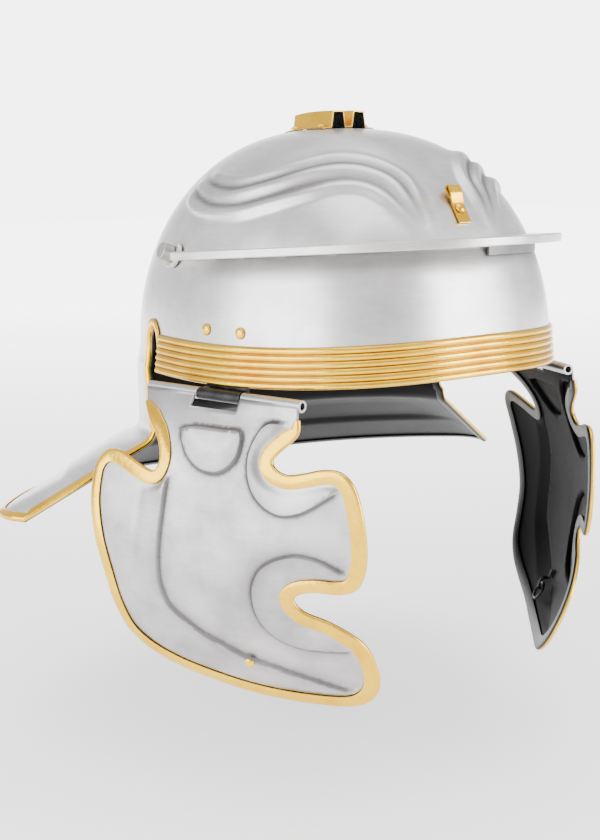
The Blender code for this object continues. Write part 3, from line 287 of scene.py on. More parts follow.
def peak_shade(place):
    """How dark the bowl is painted under the peak, a painted shade for the peak's shadow and its dark
    reflection in the bowl.
    """
    gap = PEAK_Z - PEAK_SLOPE * place.y - PEAK_THICK / 2 - place.z
    if place.y > 0 or gap < 0 or gap > SHADE_DEPTH:
        return 0.0
    return SHADE_DARK * ease((SHADE_DEPTH - gap) / SHADE_FADE) * ease(-place.y / SHADE_SIDE)


def bowl_place(across, down, arch, lines):
    """Point of the half bowl and its painted shade, from the front to the rear and the crown to the
    foot.
    """
    if across < FRONT_PART:
        t = across / FRONT_PART
        dome, foot = DOME_EAR_FRONT * t, arch[0].x * t
        low = rim_height(foot)
    elif across < FRONT_PART + EAR_PART:
        t = (across - FRONT_PART) / EAR_PART
        dome = blend(DOME_EAR_FRONT, DOME_EAR_REAR, t)
        spot = arch[min(int(t * (len(arch) - 1) + 0.5), len(arch) - 1)]
        foot, low = spot.x, spot.y
    else:
        t = (across - FRONT_PART - EAR_PART) / REAR_PART
        dome, foot, low = blend(DOME_EAR_REAR, 180, t), blend(arch[-1].x, 180, t), 0.0
    if down < DOME_PART:
        turn = math.radians(blend(90, DOME_LOW, down / DOME_PART))
        height = DOME_START + (HEIGHT - DOME_START) * math.sin(turn) ** (2 / PROFILE_UP)
        place = bowl_point(dome, height)
        if down > 0.06 and height > BROW_LOW:
            relief, shade_and_tarnish = eyebrow(dome, height, lines)
            return place + bowl_normal(dome, height) * relief, max(shade_and_tarnish, peak_shade(place))
        return place, peak_shade(place)
    share = 1 - (down - DOME_PART) / (1 - DOME_PART)
    place = bowl_point(blend(foot, dome, share), blend(low, SHAPED, share))
    return place, peak_shade(place)


def skirt_place(share, down, edge_curve):
    """Point of the half skirt and neck guard, from the side to the rear and the rim to the edge."""
    if down < WALL_PART:
        t = down / WALL_PART
        spot = edge_curve[min(int(t * (len(edge_curve) - 1) + 0.5), len(edge_curve) - 1)]
        angle = blend(spot.y, 180, share)
        c = math.cos(math.radians(angle))
        place = plan_point(angle)
        place.z = -blend(BEND_SIDE, BEND_REAR, c * c) * t
        if down < BEND_FROM:
            return place
    angle = blend(edge_curve[-1].y, 180, share)
    c = math.cos(math.radians(angle))
    drop = blend(BEND_SIDE, BEND_REAR, c * c)
    bend = plan_point(angle)
    bend.z = -drop
    turn = blend(NECK_FROM, 180.0, share)
    near_corner = max(0.0, 1 - (turn - NECK_FROM) / CORNER_SPAN)
    radius = NECK_RADIUS + CORNER_REACH * (1 - share) ** 4 - CORNER_CUT * near_corner ** 2.5
    a = math.radians(turn)
    edge = Vector((radius * math.sin(a), -radius * math.cos(a),
                   -drop - blend(NECK_DROP_SIDE, NECK_DROP_REAR, share)))
    slope = edge - bend
    reach = BEND_SOFT / slope.length
    above = bend + Vector((0, 0, BEND_SOFT))
    below = bend + slope * reach
    t = (down - BEND_FROM) / (BEND_TO - BEND_FROM)
    if t < 1:
        t = max(t, 0.0)
        return above * (1 - t) ** 2 + bend * 2 * t * (1 - t) + below * t * t
    along = blend(reach, 1.0, (down - BEND_TO) / (1 - BEND_TO))
    place = bend + slope * along
    lift = slope.cross(Vector((-slope.y, slope.x, 0))).normalized()
    if lift.z < 0:
        lift = -lift
    inside = ease((RIDGE_RADIUS - math.hypot(place.x, place.y)) / RIDGE_WIDTH + 0.5)
    return place + lift * RIDGE_RISE * inside * ease(share / 0.22) * ease(along / 0.25)


def grid(bm, columns, rows, place, shade_and_tarnish=None):
    """Adds a grid and moves each of its points to place(across, down)."""
    for vert in bmesh.ops.create_grid(bm, x_segments=columns, y_segments=rows, size=1.0)["verts"]:
        spot = place((vert.co.x + 1) / 2, (vert.co.y + 1) / 2)
        if shade_and_tarnish is not None:
            spot, vert[shade_and_tarnish] = spot
        vert.co = spot


def finish_mesh(name, bm, materials, body, nodes, angle=40, bevel=None):
    """Puts a mesh from rim space into the shared frame, as a piece that stands for solid nodes."""
    bmesh.ops.translate(bm, verts=bm.verts, vec=RIM)
    mesh = bpy.data.meshes.new(name)
    bm.to_mesh(mesh)
    bm.free()
    mesh.shade_smooth()
    mesh.set_sharp_from_angle(angle=math.radians(angle))
    for material in materials:
        mesh.materials.append(material)
    item = bpy.data.objects.new(name, mesh)
    bpy.context.scene.collection.objects.link(item)
    if bevel:
        soft = item.modifiers.new("Soft edges", "BEVEL")
        soft.width, soft.segments, soft.limit_method = bevel, 2, "ANGLE"
        soft.angle_limit = math.radians(50)
        soft.harden_normals = True
    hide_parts(*nodes)
    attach(item, body)
    return item


def give_wall(item, thickness):
    """Gives a sheet its thickness, with the second material on the inner face."""
    wall = item.modifiers.new("Wall", "SOLIDIFY")
    wall.thickness, wall.offset = thickness, -1.0
    wall.material_offset = 1
    wall.material_offset_rim = 0


bowl_steel = satin_steel("satin_steel", STEEL_LIGHT, STEEL_SHADE, SATIN)
inside_paint = black_paint("black_paint", 1.2)
brow_lines = [curve_through([flatten(a, h * HEIGHT) for a, h in row], 4) for row in EYEBROWS]
ear_curve = curve_through([(*ear_point(*spot), 0) for spot in EAR_ARCH], 8)
back_edge = curve_through([(drop, ear_point(across, 0)[0], 0) for drop, across in EAR_REAR_EDGE], 8)
bm = bmesh.new()
shade_and_tarnish_layer = bm.verts.layers.float.new("shade_and_tarnish")
grid(bm, 150, 110, lambda a, b: bowl_place(a, b, ear_curve, brow_lines), shade_and_tarnish_layer)
grid(bm, 36, 60, lambda a, b: skirt_place(a, b, back_edge))
bmesh.ops.remove_doubles(bm, verts=bm.verts, dist=0.00002)
bmesh.ops.mirror(bm, geom=bm.verts[:] + bm.edges[:] + bm.faces[:], axis="X", merge_dist=0.00005)
bmesh.ops.recalc_face_normals(bm, faces=bm.faces)
bm.normal_update()
if max(bm.faces, key=lambda f: f.calc_center_median().z).normal.z < 0:
    bmesh.ops.reverse_faces(bm, faces=bm.faces)
bm.normal_update()
foot = bowl_point(ear_curve[0].x, 0.0)
here = min((v for v in bm.verts if v.is_boundary), key=lambda v: (v.co - foot).length)
free_edge, walked = [], {here}
while here is not None:
    free_edge.append((here.co.copy(), here.normal.copy()))
    around = [e.other_vert(here) for e in here.link_edges if e.is_boundary]
    around = [v for v in around if v not in walked and (len(free_edge) > 1 or v.co.z > 0.001)]
    here = around[0] if around else None
    walked.update(around[:1])
    if here and len(free_edge) > 50 and (here.co - Vector((-foot.x, foot.y, 0))).length < 0.0004:
        free_edge.append((here.co.copy(), here.normal.copy()))
        here = None
bowl = finish_mesh("bowl_skin", bm, [bowl_steel, inside_paint], "helmet", ["bowl"],
                   60)
give_wall(bowl, SHEET)


# The bowl's edging is thin brass strip folded over the ear openings and round the neck guard.
# It is polished, with spots of brown tarnish.
LIP_WIDTH, EAR_LIP, STRIP, EDGE_GAP = 0.0032, 0.0010, 0.0005, 0.0005
BRASS_LIGHT, BRASS_DEEP, BRASS_STAIN = "#f6c836", "#e0a826", "#744b14"
TARNISH_MM, SPOT_MM, RIPPLE_MM = 24, 6, 2.2


def polished_brass():
    """Gives polished brass its warm shine, brown in its creases, black where paint ran over, and
    black as painted shade inside the crest's channels.
    """
    material, tree, shader, place = new_material("polished_brass", Metallic=1.0)
    cloud, spots, ripple = [
        add(tree, "ShaderNodeTexNoise", {"Vector": place, "Scale": 1000 / wide, "Detail": detail,
            "Roughness": coarse}).outputs["Fac"]
        for wide, detail, coarse in ((TARNISH_MM, 4, 0.6), (SPOT_MM, 4, 0.65), (RIPPLE_MM, 2, 0.5))]
    shade_and_tarnish, paint_and_shade = [add(tree, "ShaderNodeAttribute", attribute_name=name).outputs["Fac"]
                       for name in ("shade_and_tarnish", "paint_and_shade")]
    tone = add(tree, "ShaderNodeValToRGB", {"Fac": cloud}, ((0.32, BRASS_DEEP), (0.62, BRASS_LIGHT)))
    shade_and_stain = add(tree, "ShaderNodeValToRGB", {"Fac": spots}, ((0.55, 0.0), (0.78, 0.35)))
    brown = add(tree, "ShaderNodeMath", {0: shade_and_tarnish, 1: 0.7}, operation="MULTIPLY").outputs[0]
    shade_and_stain = add(tree, "ShaderNodeMath", {0: shade_and_stain.outputs["Color"], 1: brown},
                operation="MAXIMUM").outputs[0]
    bare = add(tree, "ShaderNodeMix", {"Factor": shade_and_stain, 6: tone.outputs["Color"],
               7: linear(BRASS_STAIN)}, data_type="RGBA").outputs[2]
    colour = add(tree, "ShaderNodeMix", {"Factor": paint_and_shade, 6: bare, 7: linear(PAINT_BLACK)},
                 data_type="RGBA").outputs[2]
    metal = add(tree, "ShaderNodeMath", {0: 1.0, 1: paint_and_shade}, operation="SUBTRACT").outputs[0]
    rough = add(tree, "ShaderNodeMapRange", {"Value": shade_and_stain, "To Min": 0.22, "To Max": 0.42})
    matt = add(tree, "ShaderNodeMath", {0: paint_and_shade, 1: 0.40}, operation="MULTIPLY").outputs[0]
    rough = add(tree, "ShaderNodeMath", {0: rough.outputs["Result"], 1: matt},
                operation="MAXIMUM").outputs[0]
    bump = add(tree, "ShaderNodeBump", {"Height": ripple, "Strength": 0.25, "Distance": 0.0004})
    tree.links.new(colour, shader.inputs["Base Color"])
    tree.links.new(metal, shader.inputs["Metallic"])
    tree.links.new(rough, shader.inputs["Roughness"])
    tree.links.new(bump.outputs["Normal"], shader.inputs["Normal"])
    return material


def skin(rings, closed=False, stains_and_shade=None, layer_name="shade_and_tarnish"):
    """A surface through rings of the same number of points, one grid that is then welded."""
    bm = bmesh.new()
    layer = bm.verts.layers.float.new(layer_name)
    rows, columns = len(rings[0]), len(rings) - (0 if closed else 1)
    stains_and_shade = stains_and_shade or [0.0] * rows

    def place(across, down):
        ring, spot = round(across * columns) % len(rings), round(down * rows) % rows
        return rings[ring][spot], stains_and_shade[spot]
    grid(bm, columns, rows, place, layer)
    bmesh.ops.remove_doubles(bm, verts=bm.verts, dist=0.000001)
    bmesh.ops.holes_fill(bm, edges=[e for e in bm.edges if e.is_boundary], sides=0)
    bmesh.ops.recalc_face_normals(bm, faces=bm.faces)
    if bm.calc_volume(signed=True) < 0:
        bmesh.ops.reverse_faces(bm, faces=bm.faces)
    return bm


def fold(width, lip, inner):
    """Section of a strip folded round a sheet's edge, as inward and outward distances."""
    outer = inner + STRIP
    section = [(lip, inner), (lip, outer - 0.00015), (lip - 0.0002, outer)]
    for k in range(9):
        turn = math.radians(90 + 22.5 * k)
        section.append((math.cos(turn) * (outer * 0.85), math.sin(turn) * outer))
    section += [(width - 0.0002, -outer), (width, -outer + 0.00015), (width, -inner)]
    return section + [(0.0, -inner), (-inner * 0.7, 0.0), (0.0, inner)]


brass = polished_brass()
paint_and_shade = [1.0 if n < 0 else 0.0 for b, n in fold(1.0, 0.5, 0.1)]
rings = []
for i, (spot, normal) in enumerate(free_edge):
    near = free_edge[max(i - 3, 0):i + 4]
    normal = sum((n for p, n in near), Vector()).normalized()
    along = (near[-1][0] - near[0][0]).normalized()
    inward = normal.cross(along).normalized()
    lip = EAR_LIP if i < 8 or i > len(free_edge) - 9 else LIP_WIDTH
    middle = spot - normal * SHEET / 2
    rings.append([middle + inward * b + normal * n
                  for b, n in fold(LIP_WIDTH, lip, SHEET / 2 + EDGE_GAP)])
finish_mesh("bowl_edging_skin", skin(rings, stains_and_shade=paint_and_shade, layer_name="paint_and_shade"), [brass],
            "helmet", ["bowl_edging"], 45)


# The brow band is a brass strip pressed into six rounded ribs and wrapped round the front of the
# rim from ear to ear. The grooves between its ribs are dark with tarnish.
BAND_HEIGHT, BAND_RIBS, BAND_BASE, BAND_RIB, GAP = 0.0200, 6, 0.0006, 0.0010, 0.0003


def band_ring(angle):
    """One section of the band, up its ribs and down its back."""
    low = bowl_point(angle, rim_height(angle))
    high = bowl_point(angle, rim_height(angle) + BAND_HEIGHT)
    outward, ring = plan_side(angle), []
    for k in range(8 * BAND_RIBS + 1):
        share = k / (8 * BAND_RIBS)
        rib = abs(math.sin(math.pi * BAND_RIBS * share)) ** 0.7
        ring.append(low.lerp(high, share) + outward * (GAP + BAND_BASE + BAND_RIB * rib))
    return ring + [high + outward * GAP, low + outward * GAP]


band_end = ear_point(-(EAR_LIP + GAP) / EAR_WIDTH, 0.0)[0]
stains_and_shade = [(1 - abs(math.sin(math.pi * k / 8))) ** 3 for k in range(8 * BAND_RIBS + 1)] + [0.5, 0.5]
rings = [band_ring(blend(-band_end, band_end, i / 220)) for i in range(221)]
finish_mesh("brow_band_skin", skin(rings, stains_and_shade=stains_and_shade), [brass], "helmet",
            ["brow_band"], 60)


# The peak is a thick steel bar cut to a curve and set edge-on across the brow to turn a blow.
# Its ends are flattened into round lugs, each held by a headed stud. It is ground and left pale.
PEAK_FRONT, PEAK_SIDE = 0.1355, 0.1072
PEAK_END, PEAK_TIP, LUG_BACK, LUG_RADIUS = -0.0055, 0.0080, 0.0125, 0.0070
STUD_RADIUS, STUD_LENGTH = 0.0046, 0.0062
LUG_SHEET, LUG_LIFT, PEAK_SEAT = 0.0024, 0.0018, 0.0008
PEAK_LIGHT, PEAK_SHADE, STUD_LIGHT, STUD_SHADE = "#e4e2df", "#bbb9b6", "#b0aeac", "#8e8c8a"


def bowl_angle_at(back, height):
    """Plan angle at which the bowl's side lies at a place along Y."""
    low, high = 1.0, 179.0
    for step in range(30):
        middle = (low + high) / 2
        if bowl_point(middle, height).y < back:
            low = middle
        else:
            high = middle
    return low


def aim_matrix(place, along, outward):
    """A matrix at a place whose Z is outward and whose X runs along."""
    z = outward.normalized()
    x = (along - z * along.dot(z)).normalized()
    return Matrix.Translation(place) @ Matrix((x, z.cross(x), z)).transposed().to_4x4()


def disc(bm, place, normal, radius, depth, segments=40, taper=1.0):
    """Adds a short cylinder whose middle is at a place."""
    bmesh.ops.create_cone(bm, cap_ends=True, segments=segments, radius1=radius,
                          radius2=radius * taper, depth=depth,
                          matrix=aim_matrix(place, Vector((0, 1, 0.1)), normal))


ground_steel = satin_steel("ground_steel", PEAK_LIGHT, PEAK_SHADE, 0.36)
stud_steel = satin_steel("stud_steel", STUD_LIGHT, STUD_SHADE, 0.42)
end_angle, tip_angle = [bowl_angle_at(y, PEAK_Z - PEAK_SLOPE * y) for y in (PEAK_END, PEAK_TIP)]
rings = []
for angle in [-tip_angle] + [blend(-end_angle, end_angle, i / 180) for i in range(181)] + [tip_angle]:
    inner = bowl_point(angle, PEAK_Z)
    for step in range(3):
        inner = bowl_point(angle, PEAK_Z - PEAK_SLOPE * inner.y - PEAK_THICK / 2)
    inner += plan_side(angle) * PEAK_SEAT
    a = math.radians(angle)
    outer = Vector((PEAK_SIDE * math.sin(a), -PEAK_FRONT * math.cos(a), 0))
    if abs(angle) == tip_angle:
        outer = inner + plan_side(angle) * LUG_SHEET
    ring = []
    for spot, level in ((inner, -0.5), (outer, -0.5), (outer, 0.5), (inner, 0.5)):
        ring.append(Vector((spot.x, spot.y, PEAK_Z - PEAK_SLOPE * spot.y + level * PEAK_THICK)))
    rings.append(ring)
bm = skin(rings)
lug_height = PEAK_Z - PEAK_SLOPE * LUG_BACK
lug_angle = bowl_angle_at(LUG_BACK, lug_height)
for side, word in ((-1, "right"), (1, "left")):
    normal = bowl_normal(lug_angle, lug_height)
    spot = bowl_point(lug_angle, lug_height) + normal * LUG_LIFT
    normal.x, spot.x = normal.x * side, spot.x * side
    disc(bm, spot, normal, LUG_RADIUS, LUG_SHEET)
    stud = bmesh.new()
    disc(stud, spot + normal * (0.0015 + STUD_LENGTH / 2), normal, STUD_RADIUS, STUD_LENGTH, 32, 0.94)
    finish_mesh("peak_stud_skin_" + word, stud, [stud_steel], "helmet",
                ["peak_stud_" + word], 40, 0.0006)
finish_mesh("peak_skin", bm, [ground_steel], "helmet", ["peak"], 40, 0.0006)


# The tab is a plain strip that stands under the peak beside its middle, against the bowl.
# It is dull steel whose colour is set darker than the bowl's, a painted shade for the shadow under
# the peak.
TAB_FROM, TAB_TO, TAB_HEIGHT, TAB_THICK = 7.0, 35.0, 0.0048, 0.0014
TAB_LIGHT, TAB_SHADE = "#8a8889", "#5f5d5e"
shaded_tab_steel = satin_steel("shaded_tab_steel", TAB_LIGHT, TAB_SHADE, 0.5)
rings = []
for i in range(41):
    angle = blend(TAB_FROM, TAB_TO, i / 40)
    spot = bowl_point(angle, PEAK_Z)
    for step in range(3):
        spot = bowl_point(angle, PEAK_Z - PEAK_SLOPE * spot.y - PEAK_THICK / 2 - TAB_HEIGHT)
    near = spot + plan_side(angle) * GAP
    far = near + plan_side(angle) * TAB_THICK
    ring = []
    for corner, lift in ((near, 0.0), (far, 0.0), (far, 1.0), (near, 1.0)):
        top = PEAK_Z - PEAK_SLOPE * corner.y - PEAK_THICK / 2 - GAP
        ring.append(Vector((corner.x, corner.y, blend(spot.z, top, lift))))
    rings.append(ring)
finish_mesh("peak_tab_skin", skin(rings), [shaded_tab_steel], "helmet", ["peak_tab"],
            40, 0.0003)


# The crest holder is one brass sheet folded into two open channels that take a crest's prongs.
# Four domed brass rivets hold its flanges on the crown.
CREST_LENGTH, CREST_MIDDLE, CREST_SHEET = 0.035, 0.004, 0.0008
CHANNEL_BASE, CHANNEL_TOP, CHANNEL_HEIGHT = 0.0082, 0.0058, 0.0082
VALLEY, FLANGE, CREST_RIVETS = 0.0054, 0.0062, 0.0235


def crown_height(x, y):
    """Height of the crown's outer face over a place near its middle."""
    back = y + CROWN_LEAN
    length = REAR if back > 0 else FRONT
    share = min(math.hypot(x / HALF_WIDTH, back / length) / WAIST, 0.9)
    return DOME_START + (HEIGHT - DOME_START) * (1 - share ** PROFILE_OUT) ** (1 / PROFILE_UP)


def dome(name, place, normal, radius, rise, material, body, slot, node):
    """A domed rivet head."""
    bm = bmesh.new()
    bmesh.ops.create_uvsphere(bm, u_segments=32, v_segments=20, radius=radius)
    bmesh.ops.bisect_plane(bm, geom=bm.verts[:] + bm.edges[:] + bm.faces[:],
                           plane_co=(0, 0, 0), plane_no=(0, 0, 1), clear_inner=True)
    bmesh.ops.holes_fill(bm, edges=[e for e in bm.edges if e.is_boundary], sides=0)
    bmesh.ops.scale(bm, verts=bm.verts, vec=(1, 1, rise / radius))
    bmesh.ops.transform(bm, verts=bm.verts, matrix=aim_matrix(place, Vector((0.3, 1, 0.2)), normal))
    finish_mesh(name, bm, [material], body, [node], 50, 0.0003)


start, lean = VALLEY / 2, (CHANNEL_BASE - CHANNEL_TOP) / 2
half = [(start, 0.0), (start + lean, CHANNEL_HEIGHT), (start + lean + CHANNEL_TOP, CHANNEL_HEIGHT),
        (start + CHANNEL_BASE, 0.0), (start + CHANNEL_BASE + FLANGE, 0.0)]
line = [Vector((-x, z)) for x, z in reversed(half)] + [Vector(p) for p in half]
upper = []
for i, here in enumerate(line):
    first = (here - line[i - 1]).normalized() if i else Vector((1, 0))
    second = (line[i + 1] - here).normalized() if i < len(line) - 1 else first
    normal = Vector((-(first + second).y, (first + second).x)).normalized()
    upper.append(here + normal * CREST_SHEET / max(normal.dot(Vector((-first.y, first.x))), 0.3))
rings = []
for i in range(21):
    y = CREST_MIDDLE + blend(-CREST_LENGTH / 2, CREST_LENGTH / 2, i / 20)
    rings.append([Vector((p.x, y, crown_height(p.x, y) + GAP + p.y)) for p in line + upper[::-1]])
# Painted shade: the underside, which is the inside of the channels, is black.
painted_channel_shade = [1.0] * len(line) + [0.0] * len(upper)
finish_mesh("crest_holder_skin", skin(rings, stains_and_shade=painted_channel_shade, layer_name="paint_and_shade"), [brass],
            "helmet", ["crest_holder"], 30, 0.0003)
side, number = start + CHANNEL_BASE + FLANGE * 0.56, 1
for x in (-side, side):
    for end in (-0.5, 0.5):
        y = CREST_MIDDLE + CREST_RIVETS * end
        seat = Vector((x, y, crown_height(x, y) + CREST_SHEET + 2 * GAP))
        tilt = Vector((crown_height(x - 0.001, y) - crown_height(x + 0.001, y),
                       crown_height(x, y - 0.001) - crown_height(x, y + 0.001), 0.002))
        dome("crest_rivet_skin_%d" % number, seat, tilt, 0.0024, 0.0015, brass, "helmet", "brass",
             "crest_rivet_%d" % number)
        number += 1


# The front hook is a bent brass strip on the brow, its upper end lifted and curled back on itself.
# One domed rivet holds its foot.
HOOK_SIDE, HOOK_WIDTH, HOOK_SHEET, HOOK_LOW = 0.003, 0.0074, 0.0010, 0.078
HOOK_LENGTH, HOOK_LIFT, HOOK_RIVET = 0.0190, 0.0032, 0.0074
# The hook's side view, as shares of its length and of its lift.
HOOK_SHAPE = ((0.00, 0.00), (0.24, 0.00), (0.48, 0.02), (0.64, 0.32), (0.80, 0.80), (0.92, 1.00),
              (1.00, 0.86), (1.00, 0.50), (0.92, 0.25), (0.80, 0.22), (0.70, 0.14))


def hook_place(along, lift):
    """A place on the brow's middle line, so far up from the hook's foot and off the bowl."""
    height, gone = HOOK_LOW, 0.0
    while gone < along:
        gone += (bowl_point(0.0, height + 0.0004) - bowl_point(0.0, height)).length
        height += 0.0004
    place = bowl_point(0.0, height) + bowl_normal(0.0, height) * lift
    place.x = HOOK_SIDE
    return place


line = [hook_place(max(p.x, 0.0) * HOOK_LENGTH, GAP + HOOK_SHEET / 2 + 0.0002 + p.y * HOOK_LIFT)
        for p in curve_through([(a, b, 0) for a, b in HOOK_SHAPE], 6)]
rings = []
for i, here in enumerate(line):
    way = (line[min(i + 1, len(line) - 1)] - line[max(i - 1, 0)]).normalized()
    normal = way.cross(Vector((1, 0, 0))).normalized()
    rings.append([here + Vector((a * HOOK_WIDTH / 2, 0, 0)) + normal * b * HOOK_SHEET / 2
                  for a, b in ((-1, -1), (1, -1), (1, 1), (-1, 1))])
finish_mesh("front_hook_skin", skin(rings), [brass], "helmet", ["front_hook"], 40, 0.0002)
seat = hook_place(HOOK_RIVET, GAP + HOOK_SHEET + 0.0005)
dome("front_hook_rivet_skin", seat, bowl_normal(0.0, seat.z), 0.0029, 0.0016, brass, "helmet",
     "brass", "front_hook_rivet")


# Each hinge is a blackened steel leaf riveted inside the bowl, with its lower end rolled round a
# pin between the two knuckles of the guard. Two brass rivets show on the outside of the bowl.
HINGE_SIDE, HINGE_FRONT, HINGE_DROP, HINGE_LENGTH, HINGE_TURN = 0.0888, -0.0930, 0.0038, 0.0990, 15.9
KNUCKLE, BORE, PIN, PIN_INSET = 0.0030, 0.0017, 0.0014, 0.0035
MIDDLE_FROM, MIDDLE_TO, LEAF_SHEET, LEAF_HEIGHT = -0.0152, 0.0128, 0.0010, 0.0340
LEAF_TOP_FROM, LEAF_TOP_TO = -0.0200, 0.0110
LEAF_RIVET_HEIGHT, LEAF_RIVET_APART = 0.027, 0.024
DARK_STEEL, DARK_SHEEN, SCALE_MM = "#232325", "#3c3c3e", 7
turn = math.radians(HINGE_TURN)
FORWARD = Vector((-math.sin(turn), -math.cos(turn), 0))
OUTWARD = Vector((math.cos(turn), -math.sin(turn), 0))
HINGE = Vector((HINGE_SIDE, HINGE_FRONT, -HINGE_DROP)) - FORWARD * HINGE_LENGTH / 2


def blackened_steel():
    """Gives scale-dark steel with paler rubbed spots."""
    material, tree, shader, place = new_material("blackened_steel", Metallic=0.9)
    cloud = add(tree, "ShaderNodeTexNoise", {"Vector": place, "Scale": 1000 / SCALE_MM, "Detail": 4,
                "Roughness": 0.6}).outputs["Fac"]
    tone = add(tree, "ShaderNodeValToRGB", {"Fac": cloud}, ((0.4, DARK_STEEL), (0.75, DARK_SHEEN)))
    tree.links.new(tone.outputs["Color"], shader.inputs["Base Color"])
    rough = add(tree, "ShaderNodeMapRange", {"Value": cloud, "To Min": 0.45, "To Max": 0.3})
    tree.links.new(rough.outputs["Result"], shader.inputs["Roughness"])
    return material


def mirrored(bm, side):
    """Turns a left piece into a right one."""
    if side < 0:
        bmesh.ops.scale(bm, verts=bm.verts, vec=(-1, 1, 1))
        bmesh.ops.reverse_faces(bm, faces=bm.faces)
    return bm


def roll_point(axis, turn, radius):
    """Point round the hinge line, turned up from the outward side."""
    a = math.radians(turn)
    return axis + OUTWARD * radius * math.cos(a) + Vector((0, 0, radius * math.sin(a)))


def wall_place(u, height, depth):
    """Place under the bowl's wall, square to the hinge line at u."""
    low, high = 30.0, 110.0
    for step in range(30):
        angle = (low + high) / 2
        spot = bowl_point(angle, height) - bowl_normal(angle, height) * depth
        if (spot - HINGE - FORWARD * u).dot(FORWARD) > 0:
            low = angle
        else:
            high = angle
    return spot


def tube(start, end, radius, bore, segments=32):
    """A tube along the hinge line, or a rod if it has no bore."""
    def circle(r, u):
        return [roll_point(HINGE + FORWARD * u, 360 * k / segments, r) for k in range(segments)]
    if bore:
        return skin([circle(radius, start), circle(radius, end), circle(bore, end),
                     circle(bore, start)], closed=True)
    return skin([circle(radius, start), circle(radius, end)])


dark_steel = blackened_steel()
for side, word in ((-1, "right"), (1, "left")):
    near, rings = SHEET + GAP + 0.0002, []
    for i in range(9):
        u = blend(MIDDLE_FROM + GAP, MIDDLE_TO - GAP, i / 8)
        axis, wide = HINGE + FORWARD * u, blend(LEAF_TOP_FROM, LEAF_TOP_TO, i / 8)
        shares = [blend(1.0, 0.015, k / 8) for k in range(9)]
        outer, inner = [[wall_place(blend(u, wide, share), LEAF_HEIGHT * share, depth)
                         for share in shares] for depth in (near, near + LEAF_SHEET)]
        turned, under = outer[-1].copy(), inner[-1].copy()
        turned.z = axis.z + KNUCKLE
        under.z = axis.z + KNUCKLE - LEAF_SHEET
        throat = axis - OUTWARD * BORE * 0.8
        throat.z = under.z
        roll = [roll_point(axis, 90 - 12 * k, KNUCKLE) for k in range(26)]
        bore = [roll_point(axis, 90 - 12 * k, BORE) for k in range(26)]
        rings.append(outer + [turned] + roll + bore[::-1] + [throat, under] + inner[::-1])
    finish_mesh("hinge_leaf_skin_" + word, mirrored(skin(rings), side), [dark_steel], "helmet",
                ["hinge_leaf_" + word], 35)
    end = HINGE_LENGTH / 2 - PIN_INSET
    finish_mesh("hinge_pin_skin_" + word, mirrored(tube(-end, end, PIN, 0), side), [dark_steel],
                "helmet", ["hinge_pin_" + word], 35)
    for number, way in ((1, 1), (2, -1)):
        u = (LEAF_TOP_FROM + LEAF_TOP_TO) / 2 + way * LEAF_RIVET_APART / 2
        seat = wall_place(u, LEAF_RIVET_HEIGHT, 0.0)
        normal = bowl_normal(bowl_angle_at(seat.y, LEAF_RIVET_HEIGHT), LEAF_RIVET_HEIGHT)
        seat += normal * GAP
        seat.x, normal.x = seat.x * side, normal.x * side
        dome("leaf_rivet_skin_%s_%d" % (word, number), seat, normal, 0.0030, 0.0017, brass,
             "helmet", "brass", "leaf_rivet_%s_%d" % (word, number))


# Each cheek guard is a dished steel plate, satin outside and painted black inside, with pressed
# crescents and a long ridge. Its top is rolled into knuckles and brass strip is folded round it.
GUARD_SHEET, GUARD_WIDTH, GUARD_DROP, GUARD_EDGE = 0.0010, 0.148, 0.152, 0.0054
WINDOW_DROP, RELIEF_STEP, GUARD_RELIEF, HEM_FADE = 0.0054, 0.0013, 0.0022, 0.0040
FLARE, SAG, DISH_LEAN, DISH, DISH_START = 0.653, 4.37, 0.226, 2.36, 0.030
FINE, SPREAD, MESH_WIDTH, MESH_DROP, MESH_CLEAR = 0.0010, 0.006, 0.0016, 0.00145, 0.0009
# The guards' steel is the bowl's steel set darker, a painted shade.
DIMMED_GUARD_LIGHT, DIMMED_GUARD_SHADE = "#c8c5c5", "#979495"
# Places on the guard are shares of its width and drop, forward and down from the hinge's middle.
GUARD_OUTLINE = (
    (-0.298, 0.040), (-0.245, 0.090), (-0.192, 0.130), (-0.156, 0.180), (-0.150, 0.222),
    (-0.180, 0.246), (-0.290, 0.215), (-0.352, 0.200), (-0.400, 0.210), (-0.430, 0.250),
    (-0.432, 0.310), (-0.425, 0.378), (-0.399, 0.483), (-0.365, 0.598), (-0.346, 0.705),
    (-0.316, 0.800), (-0.250, 0.865), (-0.146, 0.913), (0.000, 0.953), (0.150, 0.985),
    (0.300, 0.999), (0.420, 0.997), (0.485, 0.965), (0.525, 0.905), (0.536, 0.824),
    (0.515, 0.745), (0.442, 0.684), (0.365, 0.648), (0.336, 0.606), (0.358, 0.576),
    (0.410, 0.565), (0.480, 0.567), (0.525, 0.550), (0.550, 0.500), (0.558, 0.420),
    (0.548, 0.320), (0.525, 0.235), (0.485, 0.193), (0.430, 0.190), (0.375, 0.204),
    (0.320, 0.213), (0.276, 0.198), (0.257, 0.168), (0.275, 0.138), (0.314, 0.103),
    (0.336, 0.075), (0.334, 0.040),
)
